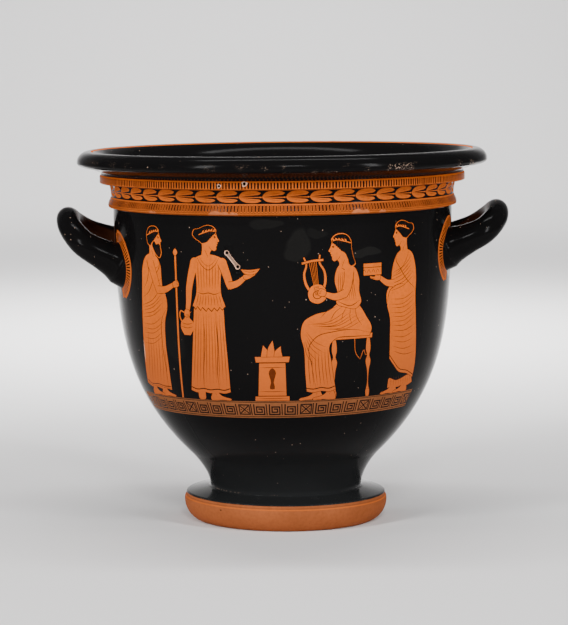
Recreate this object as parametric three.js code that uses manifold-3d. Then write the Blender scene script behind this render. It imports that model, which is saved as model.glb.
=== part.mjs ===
// A bell krater: a wide bowl of fired clay on a round foot, with two upturned loop handles.
// Millimetres, +Z up. The origin is the middle of the foot, on the plane that the vessel stands on.
// The handles lie along X, and the pictured front faces -Y.
import * as THREE from 'three';
import { mergeVertices } from 'three/addons/utils/BufferGeometryUtils.js';
import Module from 'manifold-3d';

const wasm = await Module();
wasm.setup();

// Foot
const standRadius = 98; // edge of the ring that the vessel stands on
const standWidth = 15; // width of that ring
const footRadius = 111.5; // widest part of the rounded edge
const footEdgeHeight = 31; // height of the rounded edge
const footShoulderHeight = 21.5; // where the edge is widest
const footLedgeHeight = 4; // narrow ledge along the top of the edge
const footLedgeDepth = 1.6; // how far the ledge is set back
const footTopRise = 9.5; // rise of the foot's top towards the stem
const footHollowDepth = 36; // depth of the hollow under the foot, in the middle

// Bowl
const stemRadius = 82;
const kneeRadius = 104.4; // where the stem's curve turns into the bowl's
const kneeRise = 34.5; // height of that turn above the foot's top
const kneeAngle = 43.8; // slope of the wall there, in degrees
const bellyFullness = 114.5; // how strongly the bowl swells above the turn
const wallUprightness = 104; // how long the wall stays upright below the throat
const bowlHeight = 265; // from the turn to the throat
const throatRadius = 187; // just below the lower moulding
const wall = 8; // thickness of the bowl
const floorThickness = 17; // fired clay above the hollow in the foot

// Mouldings between the throat and the lip
const throatHeight = 6.5; // plain stretch between the throat and the lower moulding
const bandProjection = 5.2; // lower moulding
const bandHeight = 9.5;
const bandSetBack = 2.8; // how far its top leans back
const hollowHeight = 19; // hollow band above it
const hollowFlare = 5; // how far the hollow band widens upwards
const filletProjection = 7.2; // upper moulding
const filletHeight = 8.5;
const neckHeight = 4; // shaded neck between the upper moulding and the lip
const neckSetBack = 1.6;

// Lip
const lipOverhang = 26.4; // from the neck out to the lip's outermost edge
const lipHeight = 23.5; // from the neck to the crest
const lipUndersideRise = 5; // rise of the underside from the neck to its rounded edge
const lipEdgeRise = 11; // height of the outermost edge above the neck
const crestSetBack = 13.5; // from the outermost edge in to the crest
const mouthWall = 11; // thickness behind the upper moulding

// Handles
const handleReach = 250; // from the vessel's axis to the outermost point
const handleSpan = 88; // between the middles of the two roots
const handleBow = 5; // how far each limb bows out beyond its root
const tipThickness = 25.5;
const limbThickness = 28;
const rootHeight = 47; // height of a root where it spreads onto the wall
const rootBreadth = 54;
const rootSpread = 18; // length over which the limb widens into its root

// Heights of the middle of each root and of the tip: the potter set the two handles by eye
const rightHandle = { side: 1, nearRoot: 303.5, farRoot: 301, tip: 339.5 };
const leftHandle = { side: -1, nearRoot: 290.5, farRoot: 302, tip: 336.5 };

// The potter's bowl leans a little to the left on its level foot
const leanAngle = 0.65; // degrees

const softening = 1; // small roundings along the edges of the mouldings and the foot

// Fineness of the faceted surfaces
const turns = 64; // facets around the vessel
const stemSteps = 4; // steps along the stem's curve
const bowlSteps = 12; // steps along the bowl's curve
const handleSides = 12;
const handleRings = 24;

const rad = THREE.MathUtils.degToRad;

// Points of the profile where one form meets the next; x is the radius and y the height
const stemFoot = new THREE.Vector2(stemRadius, footEdgeHeight + footTopRise);
const knee = new THREE.Vector2(kneeRadius, stemFoot.y + kneeRise);
const throat = new THREE.Vector2(throatRadius, knee.y + bowlHeight);
const bandBottom = throat.y + throatHeight;
const bandTop = bandBottom + bandHeight;
const hollowTop = bandTop + hollowHeight;
const filletTop = hollowTop + filletHeight;
const neckTop = filletTop + neckHeight;
const bandRadius = throatRadius + bandProjection;
const hollowRadius = bandRadius - bandSetBack;
const filletRadius = hollowRadius + hollowFlare + filletProjection;
const neckRadius = filletRadius - neckSetBack;
const lipRadius = neckRadius + lipOverhang;
const crest = new THREE.Vector2(lipRadius - crestSetBack, neckTop + lipHeight);

// Points of a cubic curve in the profile plane, without its first point.
function curvePoints(start, startPull, endPull, end, count) {
  const curve = new THREE.CubicBezierCurve(start, startPull, endPull, end);
  return curve.getPoints(count).slice(1);
}

// Points of a quarter of an ellipse from start to end, without the first point.
// It leaves start upright if upFirst is true, and sideways otherwise.
function quarterPoints(start, end, upFirst, count) {
  const points = [];
  for (let step = 1; step <= count; step += 1) {
    const turn = (step / count) * (Math.PI / 2);
    const slow = 1 - Math.cos(turn);
    const quick = Math.sin(turn);
    const across = upFirst ? slow : quick;
    const up = upFirst ? quick : slow;
    const radius = start.x + (end.x - start.x) * across;
    const height = start.y + (end.y - start.y) * up;
    points.push(new THREE.Vector2(radius, height));
  }
  return points;
}

// The hollow under the foot, from the axis out to the standing ring.
function footUnderside() {
  const ringInner = new THREE.Vector2(standRadius - standWidth, 0);
  const middle = new THREE.Vector2(0, footHollowDepth);
  const dome = quarterPoints(ringInner, middle, true, 4).reverse();
  return [...dome, ringInner];
}

// The rounded edge of the foot, its narrow ledge, and its top up to the stem.
function footEdge() {
  const ledgeBottom = footEdgeHeight - footLedgeHeight;
  const ledgeRadius = footRadius - footLedgeDepth;
  const stand = new THREE.Vector2(standRadius, 0);
  const round = curvePoints(
    stand,
    new THREE.Vector2((standRadius + footRadius) / 2, softening),
    new THREE.Vector2(footRadius, footShoulderHeight / 2),
    new THREE.Vector2(footRadius, footShoulderHeight),
    5,
  );
  return [
    stand,
    ...round,
    new THREE.Vector2(footRadius - softening / 2, ledgeBottom),
    new THREE.Vector2(ledgeRadius, ledgeBottom + softening),
    new THREE.Vector2(ledgeRadius - softening / 2, footEdgeHeight - softening),
    new THREE.Vector2(ledgeRadius - softening * 2, footEdgeHeight),
    new THREE.Vector2(stemRadius + softening * 2, footEdgeHeight + footTopRise - softening),
    stemFoot,
  ];
}

// The bell: up from the stem, out through the turn and up to the throat.
function bellOutside() {
  const slope = new THREE.Vector2(Math.cos(rad(kneeAngle)), Math.sin(rad(kneeAngle)));
  const stemPull = new THREE.Vector2(stemRadius, stemFoot.y + kneeRise * 0.45);
  const beforeKnee = knee.clone().addScaledVector(slope, -2);
  const afterKnee = knee.clone().addScaledVector(slope, bellyFullness);
  const belowThroat = new THREE.Vector2(throatRadius - 3, throat.y - wallUprightness);
  return [
    ...curvePoints(stemFoot, stemPull, beforeKnee, knee, stemSteps),
    ...curvePoints(knee, afterKnee, belowThroat, throat, bowlSteps),
  ];
}

// The two mouldings with the hollow band between them, and the neck under the lip.
function mouldings() {
  const hollowStart = new THREE.Vector2(hollowRadius, bandTop);
  const hollowEnd = new THREE.Vector2(hollowRadius + hollowFlare, hollowTop - softening);
  return [
    new THREE.Vector2(throatRadius, bandBottom - softening),
    new THREE.Vector2(bandRadius, bandBottom),
    new THREE.Vector2(bandRadius, bandBottom + bandHeight / 2),
    hollowStart,
    ...quarterPoints(hollowStart, hollowEnd, true, 3),
    new THREE.Vector2(filletRadius, hollowTop),
    new THREE.Vector2(filletRadius, filletTop - softening),
    new THREE.Vector2(neckRadius, filletTop),
    new THREE.Vector2(neckRadius, neckTop),
  ];
}

// The heavy rounded lip, from its underside over the outer edge to the crest.
function lipOutside() {
  const underside = new THREE.Vector2(lipRadius - crestSetBack, neckTop + lipUndersideRise);
  const outermost = new THREE.Vector2(lipRadius, neckTop + lipEdgeRise);
  return [
    underside,
    ...quarterPoints(underside, outermost, false, 3),
    ...quarterPoints(outermost, crest, true, 4),
  ];
}

// A profile moved inwards by a distance, square to its own slope.
function movedInwards(profile, distance) {
  return profile.map((point, index) => {
    const before = profile[Math.max(index - 1, 0)];
    const after = profile[Math.min(index + 1, profile.length - 1)];
    const slope = after.clone().sub(before).normalize();
    return new THREE.Vector2(point.x - slope.y * distance, point.y + slope.x * distance);
  });
}

// The inside, from the middle of the floor up the wall and out to the crest.
function bellInside() {
  const floor = new THREE.Vector2(0, footHollowDepth + floorThickness);
  const wallPoints = movedInwards(bellOutside().slice(stemSteps - 1), wall)
    .filter((point, index) => index % 2 === 0);
  const [wallStart] = wallPoints;
  const wallEnd = wallPoints[wallPoints.length - 1];
  const mouth = new THREE.Vector2(neckRadius - mouthWall, neckTop);
  const floorPull = new THREE.Vector2(wallStart.x * 0.6, floor.y);
  const wallPull = new THREE.Vector2(wallStart.x * 0.85, (floor.y + wallStart.y) / 2);
  const throatPull = new THREE.Vector2(wallEnd.x, bandTop);
  const neckPull = new THREE.Vector2(mouth.x - wall / 2, hollowTop - hollowHeight / 3);
  const lipPull = new THREE.Vector2(mouth.x + wall / 2, neckTop + lipHeight / 2);
  const crestPull = new THREE.Vector2(crest.x - wall, crest.y - softening);
  return [
    floor,
    ...curvePoints(floor, floorPull, wallPull, wallStart, 3),
    ...wallPoints.slice(1),
    ...curvePoints(wallEnd, throatPull, neckPull, mouth, 3),
    ...curvePoints(mouth, lipPull, crestPull, crest, 4),
  ];
}

// A solid from a closed mesh, with its shared corners merged.
function solidFrom(geometry) {
  const bare = geometry.clone();
  bare.deleteAttribute('normal');
  bare.deleteAttribute('uv');
  const merged = mergeVertices(bare, 1e-4);
  const vertProperties = new Float32Array(merged.attributes.position.array);
  const triVerts = new Uint32Array(merged.index.array);
  return new wasm.Manifold(new wasm.Mesh({ numProp: 3, vertProperties, triVerts }));
}

// A turned solid. The profile's radius and height become X and Z.
function turned(profile) {
  const geometry = new THREE.LatheGeometry(profile, turns);
  return solidFrom(geometry.rotateX(Math.PI / 2));
}

// Radius of the outer wall at a height.
function wallRadiusAt(height) {
  const outline = [...bellOutside(), ...mouldings()];
  for (let index = 1; index < outline.length; index += 1) {
    const low = outline[index - 1];
    const high = outline[index];
    if (height >= low.y && height <= high.y && high.y > low.y) {
      return THREE.MathUtils.mapLinear(height, low.y, high.y, low.x, high.x);
    }
  }
  return throatRadius;
}

// The line along the middle of a handle, from its near root over the tip to its far root.
function handleLine({ side, nearRoot, farRoot, tip }) {
  const halfSpan = handleSpan / 2;
  const tipOut = handleReach - tipThickness / 2;
  const limb = (root, turnSign) => {
    const wallOut = Math.sqrt(wallRadiusAt(root) ** 2 - halfSpan ** 2);
    const reach = tipOut - wallOut;
    const climb = tip - root;
    const across = halfSpan + handleBow;
    return [
      [-wall / reach, halfSpan - 1, -0.1],
      [0, halfSpan, 0],
      [0.33, across, 0.22],
      [0.66, across * 0.96, 0.46],
      [0.91, across * 0.62, 0.78],
    ].map(([outShare, sideways, climbShare]) => new THREE.Vector3(
      side * (wallOut + reach * outShare),
      turnSign * sideways,
      root + climb * climbShare,
    ));
  };
  const near = limb(nearRoot, -1);
  const far = limb(farRoot, 1).reverse();
  const points = [...near, new THREE.Vector3(side * tipOut, 0, tip), ...far];
  return new THREE.CatmullRomCurve3(points, false, 'centripetal');
}

// Half the height and half the breadth of a handle's section, at a distance from its root.
function handleSection(fromRoot, fromTip) {
  const widening = Math.exp(-Math.max(fromRoot - wall, 0) / rootSpread);
  const along = THREE.MathUtils.smoothstep(fromTip, 0, handleSpan);
  const plain = THREE.MathUtils.lerp(tipThickness, limbThickness, along);
  return {
    up: (plain + (rootHeight - plain) * widening) / 2,
    across: (plain + (rootBreadth - plain) * widening) / 2,
  };
}

// A handle as a closed tube whose section widens towards both roots.
function handleSolid(handle) {
  const line = handleLine(handle);
  const length = line.getLength();
  const positions = [];
  const indices = [];
  for (let ring = 0; ring <= handleRings; ring += 1) {
    const share = (1 - Math.cos((ring / handleRings) * Math.PI)) / 2;
    const centre = line.getPointAt(share);
    const along = line.getTangentAt(share);
    const across = new THREE.Vector3().crossVectors(along, new THREE.Vector3(0, 0, 1)).normalize();
    const up = new THREE.Vector3().crossVectors(across, along);
    const fromRoot = Math.min(share, 1 - share) * length;
    const section = handleSection(fromRoot, Math.abs(share - 0.5) * length);
    for (let corner = 0; corner < handleSides; corner += 1) {
      const turn = (corner / handleSides) * Math.PI * 2;
      const point = centre.clone()
        .addScaledVector(up, Math.cos(turn) * section.up)
        .addScaledVector(across, Math.sin(turn) * section.across);
      positions.push(point.x, point.y, point.z);
    }
  }
  for (let ring = 0; ring < handleRings; ring += 1) {
    for (let corner = 0; corner < handleSides; corner += 1) {
      const next = (corner + 1) % handleSides;
      const a = ring * handleSides + corner;
      const b = ring * handleSides + next;
      indices.push(a, b, a + handleSides, b, b + handleSides, a + handleSides);
    }
  }
  const last = handleRings * handleSides;
  for (let corner = 1; corner < handleSides - 1; corner += 1) {
    indices.push(0, corner + 1, corner, last, last + corner, last + corner + 1);
  }
  const geometry = new THREE.BufferGeometry();
  geometry.setAttribute('position', new THREE.Float32BufferAttribute(positions, 3));
  geometry.setIndex(indices);
  return solidFrom(geometry);
}

// The solid inside the middle of the wall, which trims the handles' roots.
function wallCore() {
  const middle = movedInwards(bellOutside(), wall / 2);
  const low = middle[0];
  const high = middle[middle.length - 1];
  return turned([
    new THREE.Vector2(0, low.y),
    ...middle,
    new THREE.Vector2(high.x, bandTop),
    new THREE.Vector2(0, bandTop),
  ]);
}

// The bowl leans as one, from the foot's top upwards, while the foot stays level.
function lean(geometry) {
  const position = geometry.attributes.position;
  for (let index = 0; index < position.count; index += 1) {
    const x = position.getX(index);
    const z = position.getZ(index);
    const share = THREE.MathUtils.smoothstep(z, footEdgeHeight, footEdgeHeight + kneeRise);
    const angle = rad(leanAngle) * share;
    position.setX(index, x - (z - footEdgeHeight) * Math.sin(angle));
    position.setZ(index, z + x * Math.sin(angle));
  }
  return geometry;
}

// The vessel: bowl, foot and handles are one body of fired clay.
function kraterGeometry() {
  const profile = [
    ...footUnderside(),
    ...footEdge(),
    ...bellOutside(),
    ...mouldings(),
    ...lipOutside(),
    ...bellInside().slice(0, -1).reverse(),
  ];
  const core = wallCore();
  let vessel = turned(profile);
  for (const handle of [rightHandle, leftHandle]) {
    vessel = vessel.add(handleSolid(handle).subtract(core));
  }
  const { vertProperties, triVerts } = vessel.getMesh();
  const geometry = new THREE.BufferGeometry();
  geometry.setAttribute('position', new THREE.BufferAttribute(vertProperties, 3));
  geometry.setIndex(new THREE.BufferAttribute(triVerts, 1));
  return lean(geometry);
}

const blackGloss = new THREE.MeshStandardMaterial({ color: 0x1a1919, roughness: 0.28, metalness: 0 });

const krater = new THREE.Mesh(kraterGeometry(), blackGloss);
krater.name = 'krater';

const group = new THREE.Group();
group.add(krater);

export default group;
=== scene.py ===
# Bell krater: the visual surface, its painted bands and figures, the floor, the lights and the camera.
import math
import bpy
import numpy as np
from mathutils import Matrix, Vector
from mathutils.geometry import delaunay_2d_cdt


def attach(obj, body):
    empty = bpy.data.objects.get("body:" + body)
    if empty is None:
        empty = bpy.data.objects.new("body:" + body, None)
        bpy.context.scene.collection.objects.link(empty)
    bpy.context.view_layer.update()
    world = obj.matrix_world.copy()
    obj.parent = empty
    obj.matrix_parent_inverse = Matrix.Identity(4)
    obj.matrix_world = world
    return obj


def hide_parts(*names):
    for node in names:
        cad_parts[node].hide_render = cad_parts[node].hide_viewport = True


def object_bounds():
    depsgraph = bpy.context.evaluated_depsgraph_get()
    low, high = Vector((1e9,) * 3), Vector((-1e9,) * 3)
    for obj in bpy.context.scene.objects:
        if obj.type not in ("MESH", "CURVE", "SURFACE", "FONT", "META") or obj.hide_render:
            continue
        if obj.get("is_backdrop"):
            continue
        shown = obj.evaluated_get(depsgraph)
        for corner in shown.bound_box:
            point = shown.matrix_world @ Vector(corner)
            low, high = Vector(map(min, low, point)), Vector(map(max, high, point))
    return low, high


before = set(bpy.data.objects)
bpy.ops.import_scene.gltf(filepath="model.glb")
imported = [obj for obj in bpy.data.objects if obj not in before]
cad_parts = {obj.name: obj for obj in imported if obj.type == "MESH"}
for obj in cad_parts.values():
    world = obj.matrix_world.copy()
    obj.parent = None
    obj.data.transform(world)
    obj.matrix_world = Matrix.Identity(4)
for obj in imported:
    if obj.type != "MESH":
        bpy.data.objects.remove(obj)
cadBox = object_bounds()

print("frame loaded")

# Sizes in millimetres, within five of the solid's
krater = {
    "stand radius": 98, "stand width": 15, "foot radius": 112.8, "foot edge height": 31,
    "foot shoulder height": 21.5, "ledge height": 6, "ledge depth": 1.6, "foot top rise": 5.5,
    "foot hollow": 36, "floor": 17, "stem radius": 84, "knee radius": 104.4, "knee rise": 38.5,
    "knee angle": 43.8, "fullness": 114.5, "uprightness": 104, "bowl height": 265,
    "throat radius": 187, "wall": 8, "throat height": 9.5, "band projection": 5.2,
    "band height": 11, "band set back": 2.8, "hollow height": 15.5, "hollow flare": 3,
    "fillet projection": 9.2, "fillet height": 9, "neck height": 2.5, "neck set back": 1.6,
    "lip overhang": 26.4, "lip height": 23.5, "underside rise": 5, "lip edge rise": 11,
    "crest set back": 13.5, "mouth wall": 11, "handle reach": 250, "handle span": 88,
    "handle bow": 5, "tip thickness": 25.5, "limb thickness": 28, "root height": 47,
    "root breadth": 54, "root spread": 18, "lean": 0.65,
    "right handle": (1, 303.5, 301.0, 339.5), "left handle": (-1, 290.5, 302.0, 336.5),
    "columns": 192, "handle sides": 48, "handle rings": 60, "chart bottom": 125.0,
}


def bezier(a, b, c, d, count):                # without the first point
    t = np.linspace(0, 1, count + 1)[1:, None]
    a, b, c, d = (np.array(p, float) for p in (a, b, c, d))
    return list(a * (1 - t)**3 + 3 * b * t * (1 - t)**2 + 3 * c * t * t * (1 - t) + d * t**3)


def quarter(start, end, upFirst, count):      # quarter of an ellipse, without the first point
    turn = np.linspace(0, math.pi / 2, count + 1)[1:]
    slow, quick = 1 - np.cos(turn), np.sin(turn)
    across, up = (slow, quick) if upFirst else (quick, slow)
    return [np.array([start[0] + (end[0] - start[0]) * a, start[1] + (end[1] - start[1]) * b])
            for a, b in zip(across, up)]


def rounded(points, radius, steps):           # small arcs in place of the inner corners
    points = [np.array(p, float) for p in points]
    out = [points[0]]
    for before, corner, after in zip(points, points[1:], points[2:]):
        a, b = before - corner, after - corner
        cut = min(radius, np.linalg.norm(a) * 0.45, np.linalg.norm(b) * 0.45)
        start, end = corner + a / np.linalg.norm(a) * cut, corner + b / np.linalg.norm(b) * cut
        for k in range(steps + 1):
            t = k / steps
            out.append(start * (1 - t)**2 + 2 * corner * t * (1 - t) + end * t * t)
    return out + [points[-1]]


def profiles():                               # the vessel's section, cut into named stretches
    k = krater
    stemFoot = np.array([k["stem radius"], k["foot edge height"] + k["foot top rise"]])
    knee = np.array([k["knee radius"], stemFoot[1] + k["knee rise"]])
    throat = np.array([k["throat radius"], knee[1] + k["bowl height"]])
    slope = np.array([math.cos(math.radians(k["knee angle"])), math.sin(math.radians(k["knee angle"]))])
    bandLow = throat[1] + k["throat height"]
    bandTop = bandLow + k["band height"]
    hollowTop = bandTop + k["hollow height"]
    filletTop = hollowTop + k["fillet height"]
    neckTop = filletTop + k["neck height"]
    bandR = k["throat radius"] + k["band projection"]
    hollowR = bandR - k["band set back"]
    filletR = hollowR + k["hollow flare"] + k["fillet projection"]
    neckR = filletR - k["neck set back"]
    lipR = neckR + k["lip overhang"]
    crest = (lipR - k["crest set back"], neckTop + k["lip height"])
    ringIn, stand = (k["stand radius"] - k["stand width"], 0), (k["stand radius"], 0)
    footR, edge = k["foot radius"], k["foot edge height"]
    dome = [np.array([0.0, k["foot hollow"]])] + quarter(ringIn, (0, k["foot hollow"]), True, 9)[-2::-1]
    side = bezier(stand, ((stand[0] + footR) / 2, 1), (footR, k["foot shoulder height"] / 2),
                  (footR, k["foot shoulder height"]), 9)
    ledge = rounded([side[-1], (footR - 0.4, edge - k["ledge height"]),
                     (footR - k["ledge depth"], edge - k["ledge height"] + 0.9),
                     (footR - k["ledge depth"] - 0.5, edge - 0.9), (footR - k["ledge depth"] - 2, edge),
                     (k["stem radius"] + 2, stemFoot[1] - 1), stemFoot + (0, 0.6)], 0.9, 3)
    stem = bezier(stemFoot, (k["stem radius"], stemFoot[1] + k["knee rise"] * 0.45), knee - slope * 2, knee,
                  12)
    bell = bezier(knee, knee + slope * k["fullness"],
                  (k["throat radius"] - 3, throat[1] - k["uprightness"]), throat, 72)
    foot = dome + [np.array(ringIn, float), np.array(stand, float)] + side[:-1] + ledge
    hollowEnd = (hollowR + k["hollow flare"], hollowTop - 1)
    trim = rounded([throat, (k["throat radius"], bandLow - 1), (bandR, bandLow + 0.1),
                    (bandR + 0.3, bandLow + 2.6)], 1.0, 2)
    trim += [np.array(p) for p in [(bandR - 0.1, bandLow + 5.2), (bandR - 1.2, bandLow + 7.6),
                                   (hollowR, bandTop)]]
    trim += quarter((hollowR, bandTop), hollowEnd, True, 8)
    fillet = rounded([trim[-1], (filletR, hollowTop), (filletR, filletTop - 1), (neckR, filletTop),
                      (neckR, neckTop)], 0.8, 2)
    trim = trim[1:-1] + fillet
    under = (lipR - k["crest set back"], neckTop + k["underside rise"])
    lip = [np.array([neckR, neckTop]), np.array([neckR, neckTop]) * 0.5 + np.array(under) * 0.5,
           np.array(under)]
    lip += quarter(under, (lipR, neckTop + k["lip edge rise"]), False, 10)
    lip += quarter((lipR, neckTop + k["lip edge rise"]), crest, True, 12)
    wallLine = np.array([knee] + bell)
    along = np.gradient(wallLine, axis=0)
    along /= np.linalg.norm(along, axis=1)[:, None]
    inner = wallLine + np.stack([-along[:, 1], along[:, 0]], 1) * k["wall"]
    inner = inner[::3]
    floor = np.array([0, k["foot hollow"] + k["floor"]])
    first, last = inner[0], inner[-1]
    mouth = np.array([neckR - k["mouth wall"], neckTop])
    inside = [floor] + bezier(floor, (first[0] * 0.6, floor[1]),
                              (first[0] * 0.85, (floor[1] + first[1]) / 2),
                              first, 12) + list(inner[1:])
    inside += bezier(last, (last[0], bandTop),
                     (mouth[0] - k["wall"] / 2, hollowTop - k["hollow height"] / 3), mouth, 9)
    inside += bezier(mouth, (mouth[0] + k["wall"] / 2, neckTop + k["lip height"] / 2),
                     (crest[0] - k["wall"], crest[1] - 1), crest, 12)
    bell = [stemFoot] + stem + bell
    split = next(i for i, p in enumerate(bell) if p[1] >= k["chart bottom"])
    low = foot[:-1] + bell[:split + 1]
    chart = bell[split:] + trim
    marks = {"throat": throat[1], "bandLow": bandLow, "bandTop": bandTop, "hollowTop": hollowTop,
             "filletTop": filletTop, "neckTop": neckTop}
    return (np.array(low), np.array(chart), np.array(lip), np.array(inside[::-1]), marks,
            len(bell) - split)


def lengths(line):                            # running length at each point
    return np.concatenate([[0], np.cumsum(np.linalg.norm(np.diff(line, axis=0), axis=1))])


lowLine, chartLine, lipLine, insideLine, marks, bellRows = profiles()
chartRun = lengths(chartLine)
chartTop = chartRun[-1]
span = 170.0                                  # millimetres of chart per radian


def slopes(line):                             # outward normals of a profile that runs up the outside
    along = np.gradient(line, axis=0)
    along /= np.maximum(np.linalg.norm(along, axis=1), 1e-9)[:, None]
    return np.stack([along[:, 1], -along[:, 0]], 1)


chartSlope = slopes(chartLine)


def runAt(z):                                 # place on the chart of a height
    return np.interp(z, chartLine[:, 1], chartRun)


def radiusAt(s):
    return np.interp(s, chartRun, chartLine[:, 0])


def onWall(flat):                             # chart points to space, with the normals
    flat = np.asarray(flat, float)
    r, z = radiusAt(flat[:, 1]), np.interp(flat[:, 1], chartRun, chartLine[:, 1])
    a = flat[:, 0] / span
    nr, nz = (np.interp(flat[:, 1], chartRun, chartSlope[:, i]) for i in (0, 1))
    size = np.maximum(np.hypot(nr, nz), 1e-9)
    spot = np.stack([r * np.sin(a), -r * np.cos(a), z], 1)
    return spot, np.stack([nr * np.sin(a), -nr * np.cos(a), nz], 1) / size[:, None]


# Drawing tools and the figures, in millimetres on the wall
sheet, rings = [], []


def curve(points, closed=False, step=1.8):   # smooth line through points; a third value marks a corner
    spots = np.array([p[:2] for p in points], float)
    corner = [len(p) > 2 for p in points]
    count = len(spots)
    spans = count if closed else count - 1
    nxt = np.roll(spots, -1, 0)
    gap = np.maximum(np.linalg.norm(nxt - spots, axis=1), 1e-6)
    slope = (nxt - spots) / gap[:, None]
    out = []
    for i in range(spans):
        j = (i + 1) % count
        before, after = (i - 1) % count, j
        free = closed or 0 < i
        start = slope[i] if corner[i] or not free else blend(slope[before], slope[i], gap[before], gap[i])
        free = closed or j < count - 1
        end = slope[i] if corner[j] or not free else blend(slope[i], slope[after], gap[i], gap[after])
        steps = max(1, int(math.ceil(gap[i] / step)))
        straight = abs(float(np.dot(start, slope[i])) - 1) + abs(float(np.dot(end, slope[i])) - 1) < 1e-4
        steps = 1 if straight and gap[i] < 12 else steps
        t = np.arange(steps)[:, None] / steps
        a, b = start * gap[i], end * gap[i]
        out.append(spots[i] * (2 * t**3 - 3 * t**2 + 1) + a * (t**3 - 2 * t**2 + t)
                   + spots[j] * (3 * t**2 - 2 * t**3) + b * (t**3 - t**2))
    if not closed:
        out.append(spots[-1:])
    return np.vstack(out)


def blend(slopeA, slopeB, gapA, gapB):
    return (slopeA * gapB + slopeB * gapA) / (gapA + gapB)


def sideways(line):                           # unit normals of an open line
    along = np.gradient(line, axis=0)
    along /= np.maximum(np.linalg.norm(along, axis=1), 1e-9)[:, None]
    return np.stack([-along[:, 1], along[:, 0]], 1)


class Brush:
    def __init__(self, sheet, place):
        self.sheet, self.place = sheet, place

    def moved(self, x, y, turn=0.0, size=1.0, flip=False):
        c, s = math.cos(math.radians(turn)) * size, math.sin(math.radians(turn)) * size
        side = -1 if flip else 1

        def place(p):
            p = np.asarray(p, float)
            px = p[:, 0] * side
            return self.place(np.stack([x + c * px - s * p[:, 1], y + s * px + c * p[:, 1]], 1))
        return Brush(self.sheet, place)

    def fill(self, points, paint="clay", edge=0.0, step=1.8, smooth=True):
        line = curve(points, True, step) if smooth else np.array([p[:2] for p in points], float)
        if edge:
            self.ribbon(np.vstack([line, line[:2]]), np.full(len(line) + 2, edge * 2), "relief")
        self.sheet.append((self.place(line), paint))

    def ribbon(self, line, width, paint):
        off = sideways(line) * (np.asarray(width) / 2)[:, None]
        self.sheet.append((self.place(np.vstack([line + off, (line - off)[::-1]])), paint))

    def line(self, points, width, paint="relief", taper=0.25, step=2.2):
        line = curve(points, False, step)
        t = np.linspace(0, 1, len(line))
        slim = np.clip(np.minimum(t, 1 - t) / max(taper, 1e-3), 0.25, 1) if taper else np.ones(len(line))
        self.ribbon(line, width * slim, paint)

    def limb(self, points):                   # clay with a black edge; points hold x, y and thickness
        line = curve([p[:2] for p in points])
        marks, run = lengths(np.array([p[:2] for p in points], float)), lengths(line)
        width = np.interp(run / run[-1], marks / marks[-1], [p[2] for p in points])
        side = sideways(line)
        for grow, what in ((0.45, "relief"), (0, "clay")):
            off = side * (width / 2 + grow)[:, None]
            self.sheet.append((self.place(np.vstack([line + off, (line - off)[::-1]])), what))

    def disc(self, x, y, radius, paint="clay", sides=14, squash=1.0):
        a = np.linspace(0, 2 * math.pi, sides, endpoint=False)
        p = np.stack([x + np.cos(a) * radius, y + np.sin(a) * radius * squash], 1)
        self.sheet.append((self.place(p), paint))

    def folds(self, top, bottom, count, bow, width, ends=(0.0, 1.0), dark=0):
        # fold lines from one edge to another, spread evenly, each bent by bow
        (ax, ay), (bx, by) = top
        (cx, cy), (dx, dy) = bottom
        for i in range(count):
            s = (i + 0.5) / count
            p = np.array([ax + (bx - ax) * s, ay + (by - ay) * s])
            q = np.array([cx + (dx - cx) * s, cy + (dy - cy) * s])
            jog = math.sin(i * 2.4) * 0.06
            start = p + (q - p) * (ends[0] + abs(jog))
            stop = p + (q - p) * (ends[1] - abs(math.cos(i * 1.7)) * 0.08)
            mid = (start + stop) / 2 + np.array([-(stop - start)[1], (stop - start)[0]]) * bow * (0.8 + jog)
            what = "relief" if dark and i % dark == 0 else "wash"
            self.line([tuple(start), tuple(mid), tuple(stop)], width, what)


hairOutlines = {                              # between the forehead and the ear
    "short": [(4.5, 12.2), (-1.5, 13.4), (-7.4, 11.4), (-10.6, 6.2), (-10.4, 0.5), (-8.2, -4.6),
              (-4.6, -6.2), (-2.4, -3.2), (0.6, -1.6)],
    "bun": [(4.5, 12.4), (-1.5, 13.6), (-7.0, 11.8), (-11.0, 9.6), (-15.8, 8.4), (-17.4, 3.6),
            (-13.6, -0.6), (-9.6, -2.4), (-6.4, -4.4), (-3.4, -3.8), (0.2, -1.8)],
    "long": [(4.5, 12.2), (-1.5, 13.4), (-7.4, 11.4), (-10.8, 6.2), (-10.8, -2.0), (-11.6, -9.0),
             (-12.4, -16.5), (-8.6, -17.5), (-6.0, -10.5), (-3.6, -4.6), (0.2, -1.8)],
}


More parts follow.
